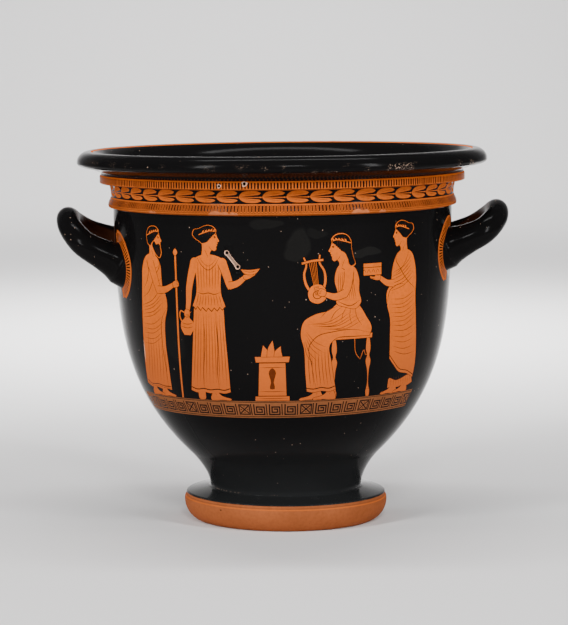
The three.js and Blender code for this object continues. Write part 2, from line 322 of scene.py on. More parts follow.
def profileHead(brush, hair, beard=False):    # faces right, 25 mm from chin to crown, centre at the ear
    mass = [(7.6, 8.6), *hairOutlines[hair], (1.6, 2.2), (3.6, 4.6), (6.4, 6.2)]
    outer = curve(mass, True)
    middle = outer.mean(0)
    halo = middle + (outer - middle) * 1.085
    brush.sheet.append((brush.place(halo), "clay"))
    brush.sheet.append((brush.place(middle + (outer - middle) * 1.025), "relief"))
    face = [(6.6, 9.0), (8.9, 5.4), (9.7, 3.4), (12.3, -0.6, 1), (11.9, -1.6), (10.2, -2.1, 1),
            (10.9, -3.4), (9.7, -4.3, 1), (10.4, -5.6), (9.3, -6.7), (9.7, -8.8), (8.0, -11.2),
            (4.6, -10.6), (3.2, -12.6), (3.8, -18.5, 1), (-6.8, -18.5, 1), (-6.2, -10.0), (-6.6, -3.0),
            (-2.0, 4.0), (2.0, 8.0)]
    brush.fill(face, "clay", step=1.1)
    brush.sheet.append((brush.place(outer), "relief"))
    for k in range(6):                        # locks from the forehead to the ear
        brush.disc(6.6 - 1.48 * k, 7.2 - 1.64 * k, 1.25, "relief", 8)
    for k in range(3):
        brush.line([(-6.5 + k * 3.2, 11.2 - k * 0.2), (-3.0 + k * 2.4, 8.2), (-1.2 + k * 2.0, 4.4)],
                   0.3, "wash")
    if beard:
        brush.fill([(0.6, -0.8), (4.6, -4.0), (8.2, -3.2), (10.2, -3.8), (11.4, -7.6), (12.6, -12.9),
                    (9.6, -18.3), (5.0, -16.3), (0.2, -11.0), (-2.4, -4.6)], "clay", step=1.3)
        brush.fill([(1.2, -1.4), (4.6, -4.6), (8.2, -3.6), (9.9, -4.4), (10.6, -7.6), (11.6, -12.6),
                    (9.4, -17.4), (5.4, -15.6), (1.0, -10.6), (-1.8, -4.6)], "relief", step=1.3)
        brush.line([(8.6, -4.6), (10.2, -4.4)], 0.45, "clay", 0)
        for k in range(4):
            brush.line([(3.0 + k * 1.7, -7.6), (5.4 + k * 1.5, -12.2), (7.6 + k * 0.7, -15.6)],
                       0.22, "wash")
    brush.line([(5.2, 3.1), (6.9, 3.5), (8.8, 2.6)], 0.5)
    brush.line([(5.4, 2.7), (7.0, 1.6), (8.4, 2.2)], 0.35)
    brush.disc(7.3, 2.6, 0.72, "relief", 7)
    brush.line([(4.8, 5.5), (7.0, 6.0), (9.1, 5.0)], 0.4)
    brush.line([(8.2, -4.1), (9.8, -4.3)], 0.35)
    brush.line([(10.6, -1.6), (9.9, -0.6), (10.5, 0.1)], 0.3, "wash")
    if not beard:
        brush.line([(1.0, -6.4), (3.4, -9.6), (6.4, -11.0)], 0.35, "wash")
    brush.line([(-3.4, -10.5), (-0.6, -15.0), (0.6, -18.0)], 0.35, "wash")
    brush.line([(-10.8, 3.8), (-4.0, 6.6), (2.5, 8.8), (7.0, 8.4)], 0.9, "clay", 0, 1.5)
    for k in range(5):                        # small leaves standing on the headband
        leaf = brush.moved(-7.0 + k * 3.1, 5.8 + k * 0.75 - (k > 3) * 0.6)
        leaf.fill([(0, 0, 1), (1.7, 1.0), (2.1, 3.0, 1), (0.4, 1.9)], step=1.5)


def fist(brush, turn):                        # closed hand round something upright, knuckles to the right
    hand = brush.moved(0, 0, turn)
    hand.fill([(-3.6, -2.6), (0.4, -3.5), (3.2, -2.5), (3.6, 0.6), (2.6, 3.1), (-0.6, 3.3), (-3.6, 2.0)],
              "clay", 0.4, 1.2)
    for k in range(3):
        hand.line([(3.4, -1.3 + k * 1.5), (1.6, -1.1 + k * 1.5), (0.2, -0.8 + k * 1.4)], 0.32)


def openHand(brush, turn):                    # palm up, fingers to the right
    hand = brush.moved(0, 0, turn)
    hand.fill([(-3.0, -2.2), (1.0, -2.9), (5.2, -2.0), (9.0, -0.4), (9.2, 0.5), (5.6, 0.4), (3.0, 0.9),
               (4.2, 3.2), (3.3, 3.7), (0.8, 1.9), (-3.0, 2.1)], "clay", 0.4, 1.2)
    hand.line([(8.4, -0.6), (4.4, -1.3), (2.6, -1.2)], 0.3)


def foot(brush, x):                           # points right, heel at x
    f = brush.moved(x, 0)
    f.fill([(-1.2, 0.6), (-1.4, 4.2), (0.4, 9.0), (0.2, 14.0, 1), (7.4, 14.0, 1), (7.6, 8.6), (10.6, 5.6),
            (16.4, 3.4), (20.4, 2.4), (21.6, 0.9), (20.0, 0.1, 1), (9.0, 0.6), (6.0, 0.1, 1)], "clay", 0.4)
    f.line([(3.2, 8.0), (4.8, 7.0), (4.4, 5.4)], 0.32, "wash")
    for k in range(3):
        f.line([(19.6 - k * 0.9, 2.4 - k * 0.2), (17.6 - k, 2.0)], 0.3)


def himationMan(brush):                       # elder with a staff, seen from the side, facing right
    brush.line([(35.5, 0.5), (34.0, 60), (33.0, 118), (32.2, 152)], 2.1, "clay", 0, 12)
    brush.fill([(32.2, 151), (35.0, 154.5), (32.2, 158.5), (29.4, 154.5)], "clay", 0.3, 1.4)
    foot(brush, 4)
    foot(brush, -15)
    brush.fill([(-5.6, 152), (-12.5, 148.5), (-17.6, 139), (-19.4, 122), (-20.6, 104), (-21.8, 82),
                (-23.4, 54), (-25.6, 28), (-27.4, 12.5, 1), (-16, 8.6), (-6, 9.6), (4, 8.0), (13, 9.0),
                (19.6, 8.0, 1), (18.0, 34), (15.6, 62), (16.2, 84), (19.8, 98), (18.8, 108), (14.0, 118),
                (12.4, 130), (11.6, 140), (6.0, 149)], "clay", 0.0)
    brush.line([(6, 149), (10.2, 142.5), (5.0, 132), (-2.0, 122), (-9.0, 112), (-19.8, 106)], 0.6)
    brush.line([(-12.5, 148.5), (-8.0, 137), (-10.4, 124), (-16.5, 116)], 0.6)
    brush.line([(9.4, 141), (4.6, 137.5), (0.8, 139.0)], 0.35, "wash")
    brush.line([(12.4, 128), (8.4, 125), (3.4, 127)], 0.35, "wash")
    brush.folds(((-19.5, 100), (-21.5, 84)), ((12.0, 119), (17.0, 97)), 5, -0.12, 0.5, dark=3)
    brush.folds(((-20.5, 82), (-22.0, 56)), ((16.5, 92), (14.4, 66)), 5, -0.16, 0.45)
    brush.folds(((-14, 76), (15, 66)), ((-22, 14), (16, 13)), 7, 0.03, 0.45, (0.08, 1.0), 4)
    brush.line([(19.8, 98), (12.6, 88), (10.4, 60), (13.4, 34), (14.6, 10)], 0.65)
    brush.line([(-26.6, 16.5), (-14, 12.2), (-4, 13.4), (8, 11.8), (18.6, 12.0)], 0.9, "relief", 0, 3)
    brush.line([(-26.9, 14.0), (-14, 10.2), (-4, 11.2), (8, 9.8), (19.0, 10.0)], 0.35, "relief", 0, 3)
    brush.limb([(-4.5, 143, 10), (1.5, 130, 9), (7.0, 117, 7.6), (9.0, 113, 7.0)])
    brush.limb([(7.2, 115.5, 7.6), (18, 116.5, 6.6), (29, 121.5, 4.6)])
    brush.disc(-4.6, 144, 5.0)
    brush.line([(-9.2, 146), (-8.4, 139), (-4.0, 134.5)], 0.4, "wash")
    fist(brush.moved(32.4, 122.6), 14)
    profileHead(brush.moved(1.5, 166.5, -2), "short", True)


def peplosWoman(brush):                       # seen from the front, head to the right, with jug and bowl
    foot(brush, 2)
    brush.fill([(-13.5, 12), (-14.5, 5), (-13.2, 0.8), (-9.6, 0.2), (-6.2, 1.0), (-6.0, 6.0), (-6.6, 12)],
               "clay", 0.4)
    for k in range(4):
        brush.line([(-13.0 + k * 1.8, 0.8), (-12.8 + k * 1.7, 2.8)], 0.3)
    jug = brush.moved(-25.5, 80)
    jug.fill([(-3.4, 14.2, 1), (-2.4, 11.6), (-3.0, 8.6), (-7.4, 4.2), (-8.0, -2.0), (-5.0, -7.6),
              (-3.8, -9.4, 1), (3.8, -9.4, 1), (5.0, -7.6), (8.0, -2.0), (7.4, 4.2), (3.0, 8.6),
              (2.6, 11.6), (5.4, 15.0, 1), (1.0, 13.8)], "clay", 0.4)
    jug.line([(-2.6, 13.4), (-8.0, 15.4), (-9.2, 9.6), (-7.0, 5.0)], 1.3, "clay", 0)
    jug.line([(-7.2, 3.4), (0, 1.8), (7.2, 3.4)], 0.45)
    jug.line([(-7.8, -0.4), (0, -2.0), (7.8, -0.4)], 0.45)
    for k in range(7):
        jug.line([(-5.4 + k * 1.8, 2.6), (-5.0 + k * 1.7, -0.6)], 0.35)
    brush.disc(-15.4, 145.2, 4.9)
    brush.limb([(-15.5, 145, 9.5), (-20.0, 130, 8.0), (-22.4, 118, 7.2), (-23.2, 106, 6.0),
                (-24.6, 96.5, 4.8)])
    fist(brush.moved(-25.4, 93.0), -96)
    brush.fill([(-5.6, 153), (-12, 151), (-16.6, 148.5, 1), (-14.6, 138), (-13.4, 126), (-13.8, 114),
                (-18.2, 101, 1), (-16.8, 99.4, 1), (-18.6, 72), (-20.6, 44), (-23.4, 10.5, 1), (-16, 8.2),
                (-8, 9.4), (0, 8.0), (8, 9.2), (16, 8.2), (22.4, 10.0, 1), (20.0, 44), (17.8, 72),
                (16.4, 99.0, 1), (18.4, 101, 1), (14.0, 114), (13.6, 126), (14.8, 138), (16.6, 148.5, 1),
                (12, 151), (5.0, 153)], "clay")
    brush.line([(-12.6, 150.4), (-6.0, 141.0), (0.0, 137.6), (6.4, 141.4), (12.4, 150.4)], 0.55)
    brush.line([(-10.0, 150.8), (-4.4, 144.0), (0.0, 141.6), (4.8, 144.0), (9.8, 150.8)], 0.35, "wash")
    brush.folds(((-13.5, 147), (13.5, 147)), ((-12.2, 117), (12.2, 117)), 8, 0.0, 0.42, (0.06, 1.0), 4)
    brush.line([(-13.8, 115.6), (-6, 113.4), (0, 114.6), (6, 113.2), (14.0, 115.6)], 0.6)
    brush.folds(((-12.6, 113), (12.6, 113)), ((-16.2, 101), (16.2, 101)), 9, 0.02, 0.42, (0.0, 1.0), 3)
    hem = [(-18.0, 100.6, 1), (-14.6, 97.4, 1), (-12.6, 100.4, 1), (-9.0, 96.4, 1), (-7.0, 99.6, 1),
           (-2.6, 95.8, 1), (-0.4, 99.2, 1), (3.4, 95.8, 1), (6.2, 99.4, 1), (9.6, 96.4, 1),
           (12.4, 100.2, 1), (15.0, 97.4, 1), (18.2, 100.6, 1)]
    brush.line(hem, 1.0, "relief", 0)
    brush.folds(((-15.6, 96), (15.6, 96)), ((-21.6, 15), (20.6, 15)), 11, 0.006, 0.45, (0.02, 1.0), 4)
    brush.line([(-6.5, 95), (-5.0, 62), (-7.4, 30), (-7.0, 12)], 0.6)
    brush.line([(7.0, 95), (9.4, 60), (8.6, 30), (10.4, 12)], 0.6)
    brush.line([(-22.9, 14.4), (-16, 12.0), (-8, 13.2), (0, 11.8), (8, 13.0), (16, 12.0), (21.9, 14.0)],
               1.1, "relief", 0, 3)
    brush.disc(15.4, 145.2, 4.9)
    brush.limb([(15.5, 145, 9.5), (20.4, 132, 8.2), (23.6, 122.5, 7.4), (25.0, 120, 7.0)])
    brush.limb([(22.6, 122.0, 7.6), (31.0, 124.4, 6.2), (38.5, 130.0, 4.6)])
    openHand(brush.moved(41.0, 131.6), 16)
    brush.fill([(35.0, 138.4, 1), (38.2, 134.6), (44.0, 133.2), (50.6, 134.8), (54.4, 139.2, 1),
                (44.8, 138.0)], "clay", 0.4)
    brush.line([(36.6, 137.2), (44.6, 135.8), (52.8, 137.8)], 0.35)
    profileHead(brush.moved(0.5, 168.5, -4), "bun")


def stool(brush):
    for x in (-27.0, 9.0):
        brush.fill([(x - 1.6, 62, 1), (x - 2.4, 50), (x - 1.2, 44), (x - 2.6, 40), (x - 1.1, 30),
                    (x - 0.9, 12), (x - 2.2, 6), (x - 1.6, 0.4, 1), (x + 1.6, 0.4, 1), (x + 2.2, 6),
                    (x + 0.9, 12), (x + 1.1, 30), (x + 2.6, 40), (x + 1.2, 44), (x + 2.4, 50),
                    (x + 1.6, 62, 1)], "clay", 0.3)
        brush.line([(x - 2.2, 42), (x + 2.2, 42)], 0.5)
        brush.line([(x - 2.0, 8.5), (x + 2.0, 8.5)], 0.5)
    brush.fill([(-31, 62, 1), (-31.5, 66.5, 1), (13.5, 66.5, 1), (13, 62, 1)], "clay", 0.3)
    brush.line([(-30.5, 64.2), (12.8, 64.2)], 0.4)


def lyrePlayer(brush):                        # seated, facing right
    foot(brush, 22)
    stool(brush)
    foot(brush.moved(-7, 0), 16)
    brush.fill([(-15, 96), (-24, 84), (-30.5, 70.5), (-28, 64.0, 1), (-10, 64.6), (8, 63.0), (13, 58),
                (12, 40), (9.6, 24), (7.6, 11.0, 1), (14, 8.8), (22, 10.0), (29.6, 8.6), (36.0, 9.8, 1),
                (37.4, 30), (38.6, 54), (41.6, 70), (38.6, 81), (28, 87.5), (14, 91), (4, 98)], "clay", 0.4)
    brush.line([(-29, 67), (-12, 71), (10, 70), (26, 66), (33, 58), (31, 36), (27, 12)], 0.6)
    brush.folds(((-14, 94), (6, 96)), ((-26, 72), (30, 84)), 5, 0.12, 0.45, (0.05, 1.0), 3)
    brush.folds(((-24, 80), (-4, 92)), ((20, 72), (38, 78)), 6, -0.14, 0.45)
    brush.folds(((36, 72), (39, 60)), ((14, 56), (30, 34)), 5, 0.12, 0.42)
    brush.folds(((14, 56), (36, 50)), ((10, 14), (34, 13)), 7, 0.02, 0.45, (0.0, 1.0), 3)
    brush.line([(8.4, 14.4), (14, 12.4), (22, 13.6), (29.6, 12.2), (36.2, 13.4)], 1.0, "relief", 0, 3)
    brush.line([(-26, 63), (-29, 48, 1), (-24, 45), (-22.5, 50), (-18, 41, 1), (-14, 46), (-12, 62)],
               0.5, "clay", 0)
    brush.fill([(-4.6, 135), (-12.4, 131), (-16.6, 121), (-16.8, 108), (-18.6, 97), (-14, 92), (-2, 93.6),
                (6.2, 97.0), (5.4, 108), (8.2, 119), (6.6, 129), (3.6, 134)], "clay", 0.4)
    brush.folds(((-11, 130), (5, 130)), ((-15, 98), (4.6, 99)), 9, 0.03, 0.38, (0.04, 1.0))
    brush.line([(-17.6, 99.4), (-8, 94.6), (5.6, 99.4)], 0.6)
    brush.line([(-8.6, 133), (-3.6, 129), (2.6, 132.4)], 0.5)
    lyre(brush.moved(26, 112, -8))
    brush.limb([(-6.5, 127, 9.5), (-5.0, 115, 8.6), (-1.0, 106.0, 7.6), (0.0, 104.6, 7.0)])
    brush.limb([(-2.0, 106.6, 7.8), (8.0, 104.0, 6.6), (18.0, 107.0, 4.6)])
    brush.disc(-6.6, 128, 4.8)
    brush.line([(-11.2, 129), (-10.6, 121), (-8.4, 113)], 0.4, "wash")
    fist(brush.moved(21.0, 108.6), 10)
    brush.line([(22.0, 110.6), (27.4, 113.0)], 0.9, "clay", 0)
    profileHead(brush.moved(2.0, 150.0, -6), "long")


def lyre(brush):                              # sound box below, two curved arms, crossbar and strings
    for side in (-1, 1):
        brush.limb([(5.0 * side, -4.0, 2.4), (9.4 * side, 6.0, 2.4), (9.8 * side, 16.0, 2.0),
                    (6.4 * side, 25.0, 1.7), (7.8 * side, 32.0, 1.3)])
    brush.limb([(-10.5, 26.6, 2.0), (0, 27.4, 2.0), (10.5, 26.6, 2.0)])
    brush.fill([(-8.6, -2.0), (-7.8, -10.0), (0, -14.0), (7.8, -10.0), (8.6, -2.0), (4.6, 3.4),
                (-4.6, 3.4)], "clay", 0.4)
    brush.disc(0, -5.4, 4.6, "relief", 14, 0.9)
    brush.disc(0, -5.4, 3.9, "clay", 14, 0.9)
    for k in range(5):
        x = -2.8 + k * 1.4
        brush.line([(x * 0.6, -6.0), (x * 1.2, 26.0)], 0.42, "clay", 0, 40)
        brush.line([(x * 0.6, -6.0), (x * 0.75, 2.8)], 0.3, "relief", 0, 40)


def cloakedWoman(brush):                      # wrapped in a mantle, facing right, with a box
    foot(brush, 6)
    foot(brush, -12)
    brush.fill([(8, 15), (-19, 17), (-22.6, 9.4, 1), (-14, 6.6), (-5, 7.8), (3, 6.4), (12, 7.6),
                (17.8, 7.0, 1), (15.8, 18)], "clay", 0.0)
    brush.folds(((-18, 20), (15, 20)), ((-20, 8), (15, 8)), 9, 0.0, 0.4)
    brush.fill([(-5.4, 152), (-13.4, 148), (-18.2, 138), (-20.4, 122), (-19.6, 104), (-21.0, 82),
                (-23.0, 56), (-24.0, 30), (-22.0, 15.0, 1), (-10, 21), (2, 24), (11, 33), (16.8, 40.0, 1),
                (17.0, 62), (17.6, 84), (21.4, 98), (21.6, 110), (16.4, 119), (14.8, 131), (12.0, 141),
                (5.6, 150)], "clay", 0.45)
    brush.line([(5.6, 150), (9.6, 143), (3.4, 133), (-5.0, 122), (-19.8, 110)], 0.6)
    brush.line([(-9.0, 150), (-4.0, 140), (3.0, 132), (11.4, 127)], 0.5, "wash")
    brush.folds(((-13, 147), (-19.6, 124)), ((14.6, 130), (20.8, 108)), 6, -0.1, 0.48, (0.03, 1.0), 3)
    brush.folds(((-20, 112), (-21.4, 80)), ((21.0, 104), (17.2, 72)), 7, -0.14, 0.45, (0.03, 0.97))
    brush.folds(((-21.4, 78), (-23.4, 40)), ((17.2, 72), (16.4, 46)), 5, -0.12, 0.45, (0.05, 0.97), 4)
    brush.line([(-22.4, 18.0), (-10, 24.2), (2, 27.4), (10.4, 36.0), (16.8, 43.6)], 0.8, "relief", 0, 3)
    brush.line([(21.4, 98), (17.0, 112), (8.0, 116.6), (-3.0, 117.2)], 0.6)
    brush.line([(21.0, 98), (23.6, 86, 1), (20.0, 82), (22.8, 70, 1), (18.6, 66), (19.8, 54, 1),
                (16.8, 50)], 0.7, "relief", 0)
    brush.limb([(12.0, 118.5, 7.6), (21.0, 119.5, 6.2), (30.5, 125.5, 4.4)])
    openHand(brush.moved(33.0, 126.0), 4)
    brush.fill([(28.5, 128.6, 1), (28.5, 140.5, 1), (49.5, 140.5, 1), (49.5, 128.6, 1)], "clay", 0.45)
    brush.line([(28.5, 136.4), (49.5, 136.4)], 0.55, "relief", 0)
    for k in range(4):
        brush.line([(31.0 + k * 5.2, 130.6), (33.0 + k * 5.2, 134.4), (35.2 + k * 5.2, 130.6)], 0.4)
    profileHead(brush.moved(1.2, 167.4, -5), "bun")


# Handles: tubes that widen into their roots, cut off where they meet the wall
def handleLine(side, near, far, tip):
    k = krater
    half, tipOut = k["handle span"] / 2, k["handle reach"] - k["tip thickness"] / 2

    def limb(root, turn):
        wallR = float(radiusAt(runAt(root)))
        out = math.sqrt(wallR**2 - half**2)
        reach, climb, across = tipOut - out, tip - root, half + k["handle bow"]
        marks = [(-k["wall"] / reach, half - 1, -0.1), (0, half, 0), (0.33, across, 0.22),
                 (0.66, across * 0.96, 0.46), (0.91, across * 0.62, 0.78)]
        return [(side * (out + reach * a), turn * b, root + climb * c) for a, b, c in marks]
    points = limb(near, -1) + [(side * tipOut, 0, tip)] + limb(far, 1)[::-1]
    p = np.array(points, float)
    p = np.vstack([2 * p[0] - p[1], p, 2 * p[-1] - p[-2]])
    out = []
    for i in range(1, len(p) - 2):
        d0, d1, d2 = (max(np.linalg.norm(p[j + 1] - p[j]) ** 0.5, 1e-4) for j in (i - 1, i, i + 1))
        a = ((p[i] - p[i - 1]) / d0 - (p[i + 1] - p[i - 1]) / (d0 + d1) + (p[i + 1] - p[i]) / d1) * d1
        b = ((p[i + 1] - p[i]) / d1 - (p[i + 2] - p[i]) / (d1 + d2) + (p[i + 2] - p[i + 1]) / d2) * d1
        t = np.linspace(0, 1, 160, endpoint=False)[:, None]
        out.append(p[i] * (2 * t**3 - 3 * t**2 + 1) + a * (t**3 - 2 * t**2 + t)
                   + p[i + 1] * (3 * t**2 - 2 * t**3) + b * (t**3 - t**2))
    line = np.vstack(out + [p[-2:-1]])
    run, sunk = lengths(line), 14.0           # straight ends inside the wall
    ends = [line[0] - (line[1] - line[0]) / (run[1] - run[0]) * sunk,
            line[-1] + (line[-1] - line[-2]) / (run[-1] - run[-2]) * sunk]
    return np.vstack([ends[:1], line, ends[1:]]), np.concatenate([[-sunk], run, [run[-1] + sunk]])


class Handle:
    def __init__(self, facts):
        self.side = facts[0]
        self.line, self.run = handleLine(*facts)
        self.length = self.run[-2]
        self.along = np.gradient(self.line, axis=0)
        self.along /= np.linalg.norm(self.along, axis=1)[:, None]
        self.turns = np.arange(krater["handle sides"]) * 2 * math.pi / krater["handle sides"]
        self.starts = self.meet(np.linspace(0.5, -0.05, 1500))
        self.ends = self.meet(np.linspace(0.5, 1.05, 1500))

    def surface(self, share, turn):
        k = krater
        share, turn = np.broadcast_arrays(share, turn)
        at = share * self.length
        centre, along = (np.stack([np.interp(at, self.run, data[:, i]) for i in range(3)], -1)
                         for data in (self.line, self.along))
        across = np.stack([along[..., 1], -along[..., 0], np.zeros_like(share)], -1)
        across /= np.linalg.norm(across, axis=-1)[..., None]
        up = np.cross(across, along)
        fromRoot = np.minimum(share, 1 - share) * self.length
        widening = np.exp(-np.maximum(fromRoot - k["wall"], 0) / k["root spread"])
        t = np.clip(np.abs(share - 0.5) * self.length / k["handle span"], 0, 1)
        t = t * t * (3 - 2 * t)
        plain = k["tip thickness"] + (k["limb thickness"] - k["tip thickness"]) * t
        high = (plain + (k["root height"] - plain) * widening) / 2
        wide = (plain + (k["root breadth"] - plain) * widening) / 2
        return centre + up * (np.cos(turn) * high)[..., None] + across * (np.sin(turn) * wide)[..., None]

    def meet(self, shares):                   # first share at which each line of the tube is in the wall
        p = self.surface(shares[:, None], self.turns[None])
        gap = np.hypot(p[..., 0], p[..., 1]) - radiusAt(runAt(p[..., 2]))
        out = []
        for column in range(len(self.turns)):
            i = int(np.argmax(gap[:, column] <= 0))
            a, b = gap[i - 1, column], gap[i, column]
            out.append(shares[i - 1] + (shares[i] - shares[i - 1]) * a / (a - b))
        return np.array(out)

    def outline(self, shares):                # a root on the chart
        p = self.surface(shares, self.turns)
        angle = np.arctan2(p[:, 0], -p[:, 1])
        angle = np.where(angle > math.pi / 2, angle - 2 * math.pi, angle)
        return np.stack([angle * span, runAt(p[:, 2])], 1)


# Painted bands, drawn on the chart
def ring(low, high, paint):                   # a band right round, between two heights on the chart
    rings.append((low, high, paint))


def panel(middle, ground, climb=0.0):         # millimetres across and up, from a point on the chart
    def place(p):
        p = np.asarray(p, float)
        s = ground + p[:, 1] + climb * p[:, 0]
        return np.stack([(math.radians(middle) + p[:, 0] / radiusAt(s)) * span, s], 1)
    return place


def around(count, ground):                    # numbered brushes, spread evenly right round
    for i in range(count):
        yield i, Brush(sheet, panel(-270 + (i + 0.5) * 360 / count, ground))


def tongueBand(low, high, count):
    ring(low - 0.2, high + 0.2, "leaf")
    tall = high - low
    for i, brush in around(count, low):
        half = 0.86 + 0.12 * math.sin(i * 2.1)
        base = 0.25 + 0.25 * math.sin(i * 1.3)
        brush.fill([(-half, tall), (-half, base + 0.8), (-half * 0.4, base), (half * 0.4, base),
                    (half, base + 0.8), (half, tall)], "relief", smooth=False)


def eggBand(low, high, count):
    ring(low, high, "band")
    tall = high - low
    for i, place in around(count, low):
        brush, sway = place.moved(-0.4, 0), 0.12 * math.sin(i * 1.9)
        outer = [(-1.44, tall), (-1.44, 1.4), (-0.75 + sway, 0.2), (0.75 + sway, 0.2), (1.44, 1.4),
                 (1.44, tall)]
        inner = [(-1.12, tall), (-1.12, 1.7), (-0.6, 0.8), (0.6, 0.8), (1.12, 1.7), (1.12, tall)]
        brush.fill(outer, "wash", smooth=False)
        brush.fill(inner, "leaf", smooth=False)
        core = 0.64 + 0.14 * math.sin(i * 0.7)
        brush.fill([(-core, tall - 0.4), (-core, 2.0), (core, 2.0), (core, tall - 0.4)],
                   "relief", smooth=False)


def laurelBand(low, middle, high, count):     # pairs of leaves along the band, with their stem between
    ring(low, high, "relief")
    across = 2 * math.pi * float(radiusAt(middle)) / count / 28.4
    for i, brush in around(count, middle):
        for way, up in ((1, (high - middle) / 8.9), (-1, (middle - low) / 8.9)):
            jog = 0.3 * math.sin(i * 2.3 + way)
            leaf = [(-14.0, 0.2, 1), (-12.4, 3.0), (-9.0, 5.7), (-3.5, 7.2 + jog), (2.5, 7.5 + jog),
                    (8.5, 7.0 + jog), (13.2, 4.9 + jog, 1), (11.2, 3.1), (6.0, 2.3), (-2.0, 1.5),
                    (-9.0, 0.8)]
            brush.fill([(x * across, y * way * up, *rest) for x, y, *rest in leaf], "leaf", step=2.6)
            brush.line([(-7.0 * across, 2.6 * way * up), (1.0 * across, 3.9 * way * up),
                        (8.0 * across, 4.7 * way * up)], 0.3, "wash", step=5)
        brush.fill([(-13.7 * across, 0.3), (10.0 * across, 0.45), (13.9 * across, 0.8),
                    (13.9 * across, -0.8), (10.0 * across, -0.45), (-13.7 * across, -0.3)],
                   "leaf", smooth=False)


def keySquare(brush):                         # one turn of the running spiral
    path = [(-6.4, 5.6), (-6.4, -5.6), (5.6, -5.6), (5.6, 3.2), (-3.4, 3.2), (-3.4, -2.9), (2.9, -2.9),
            (2.9, 0.8), (-0.6, 0.8)]
    for a, b in zip(path, path[1:]):
        brush.fill(bar(a, b, 1.5), "relief", smooth=False)


def bar(a, b, width):                         # a straight stroke with square ends
    a, b = np.array(a, float), np.array(b, float)
    along = (b - a) / np.linalg.norm(b - a) * width / 2
    side = np.array([-along[1], along[0]])
    return [tuple(a - along + side), tuple(a - along - side), tuple(b + along - side),
            tuple(b + along + side)]


def crossSquare(brush):                       # a framed cross with four dots
    for a, b in [((-6.2, -5.4), (6.2, -5.4)), ((6.2, -5.4), (6.2, 5.4)), ((6.2, 5.4), (-6.2, 5.4)),
                 ((-6.2, 5.4), (-6.2, -5.4)), ((-4.6, -3.9), (4.6, 3.9)), ((-4.6, 3.9), (4.6, -3.9))]:
        brush.fill(bar(a, b, 1.3), "relief", smooth=False)
    for x, y in [(0, 3.3), (0, -3.3), (3.9, 0), (-3.9, 0)]:
        brush.disc(x, y, 0.75, "relief", 6)


def meanderBand(low, high, left, right, squares, climb):
    middle, wide = math.radians((left + right) / 2), math.radians(right - left) * span
    centre = (low + high) / 2

    def strip(bottom, top, paint):            # part of the band's height, all along it
        line = [(middle * span + wide * (k / 40 - 0.5), k / 40 - 0.5) for k in range(41)]
        rise = climb * math.radians(right - left) * float(radiusAt(centre))
        edge = lambda s, points: [(u, s + rise * share) for u, share in points]
        sheet.append((np.array(edge(bottom, line) + edge(top, line[::-1])), paint))
    strip(low, high, "meander")
    strip(low + 1.4, low + 2.2, "relief")
    strip(high - 1.7, high - 0.95, "relief")
    step = (right - left) / squares
    tall = (high - low) / 19.5
    for i in range(squares):
        angle = left + (i + 0.5) * step
        reach = math.radians(step) * float(radiusAt(centre))
        away = math.radians(angle) - middle
        ground = centre + climb * away * float(radiusAt(centre))
        shaped = Stretched(Brush(sheet, panel(angle, ground, climb)), reach / 18.2, tall)
        (crossSquare if i % 4 == 1 else keySquare)(shaped)
        shaped.fill(bar((8.3, -5.9), (8.3, 5.9), 1.3), "relief", smooth=False)


class Stretched:                              # a brush with its own scale across and up
    def __init__(self, brush, across, up):
        self.brush, self.across, self.up = brush, across, up

    def fill(self, points, paint, smooth=True):
        self.brush.fill([(x * self.across, y * self.up) for x, y in points], paint, smooth=smooth)

    def disc(self, x, y, radius, paint, sides):
        self.brush.disc(x * self.across, y * self.up, radius, paint, sides)


def grown(outline, distance):                 # a closed outline on the chart, moved outwards
    before, after = np.roll(outline, 1, 0), np.roll(outline, -1, 0)
    along = after - before
    along /= np.linalg.norm(along, axis=1)[:, None]
    out = np.stack([along[:, 1], -along[:, 0]], 1)
    middle = outline.mean(0)
    if np.sum(out * (outline - middle)) < 0:
        out = -out
    return outline + out * distance


def rootBand(outline, way):                   # short tongues round the outer half of a handle's root
    size = len(outline)
    ceiling = float(runAt(marks["throat"])) - 2.0
    first, last, ticks = -0.045, 0.455, 28

    def spot(share, distance):
        p = onOutline(grownLine[distance], share * way * size)
        return p[0], min(p[1], ceiling)
    grownLine = {d: grown(outline, d) for d in (0.8, 2.0, 8.0, 11.0, 14.2)}
    shares = np.linspace(first, last, 40)
    taper = lambda share: 14.2 if first + 0.03 < share < last - 0.03 else 11.0
    sheet.append((np.array([spot(v, taper(v)) for v in shares] + [spot(v, 0.8) for v in shares[::-1]]),
                  "leaf"))
    fine = np.linspace(first, last, 200)
    path = np.array([spot(v, 8.0) for v in fine])
    run = lengths(path)
    even = lambda part: float(np.interp(part * run[-1], run, fine))
    for i in range(ticks):
        a, b = (even(0.05 + 0.90 * (i + half) / ticks) for half in (0, 0.5))
        sheet.append((np.array([spot(a, 2.0), spot(a, 11.0), spot(b, 11.0), spot(b, 2.0)]), "relief"))


def onOutline(outline, place):                # a spot on a closed outline, by its place in the list
    place = place % len(outline)
    i = int(place)
    j = (i + 1) % len(outline)
    return outline[i] + (outline[j] - outline[i]) * (place - int(place))


dents = []                                    # closed outlines on the chart and how deep each is


def circle(middle, radius, sides=14, wobble=0.0):
    a = np.arange(sides) * 2 * math.pi / sides
    r = radius * (1 + wobble * np.sin(a * 3 + 1.0) + wobble * 0.7 * np.sin(a * 5))
    return np.array(middle) + np.stack([np.cos(a) * r, np.sin(a) * r], 1)


def drilledHole(angle, z, radius, chip):      # an old repair hole with a flaked rim, its floor painted near-black as the shade in the hole
    place = panel(angle, float(runAt(z)))
    sheet.append((place(circle((0, 0.1), radius + chip, 16, 0.16)), "fill"))
    for inset in (0, 0.3):
        sheet.append((place(circle((0, 0), radius - inset)), "holeShade"))
    dents.append((place(circle((0, 0), radius - 0.25)), 2.0))


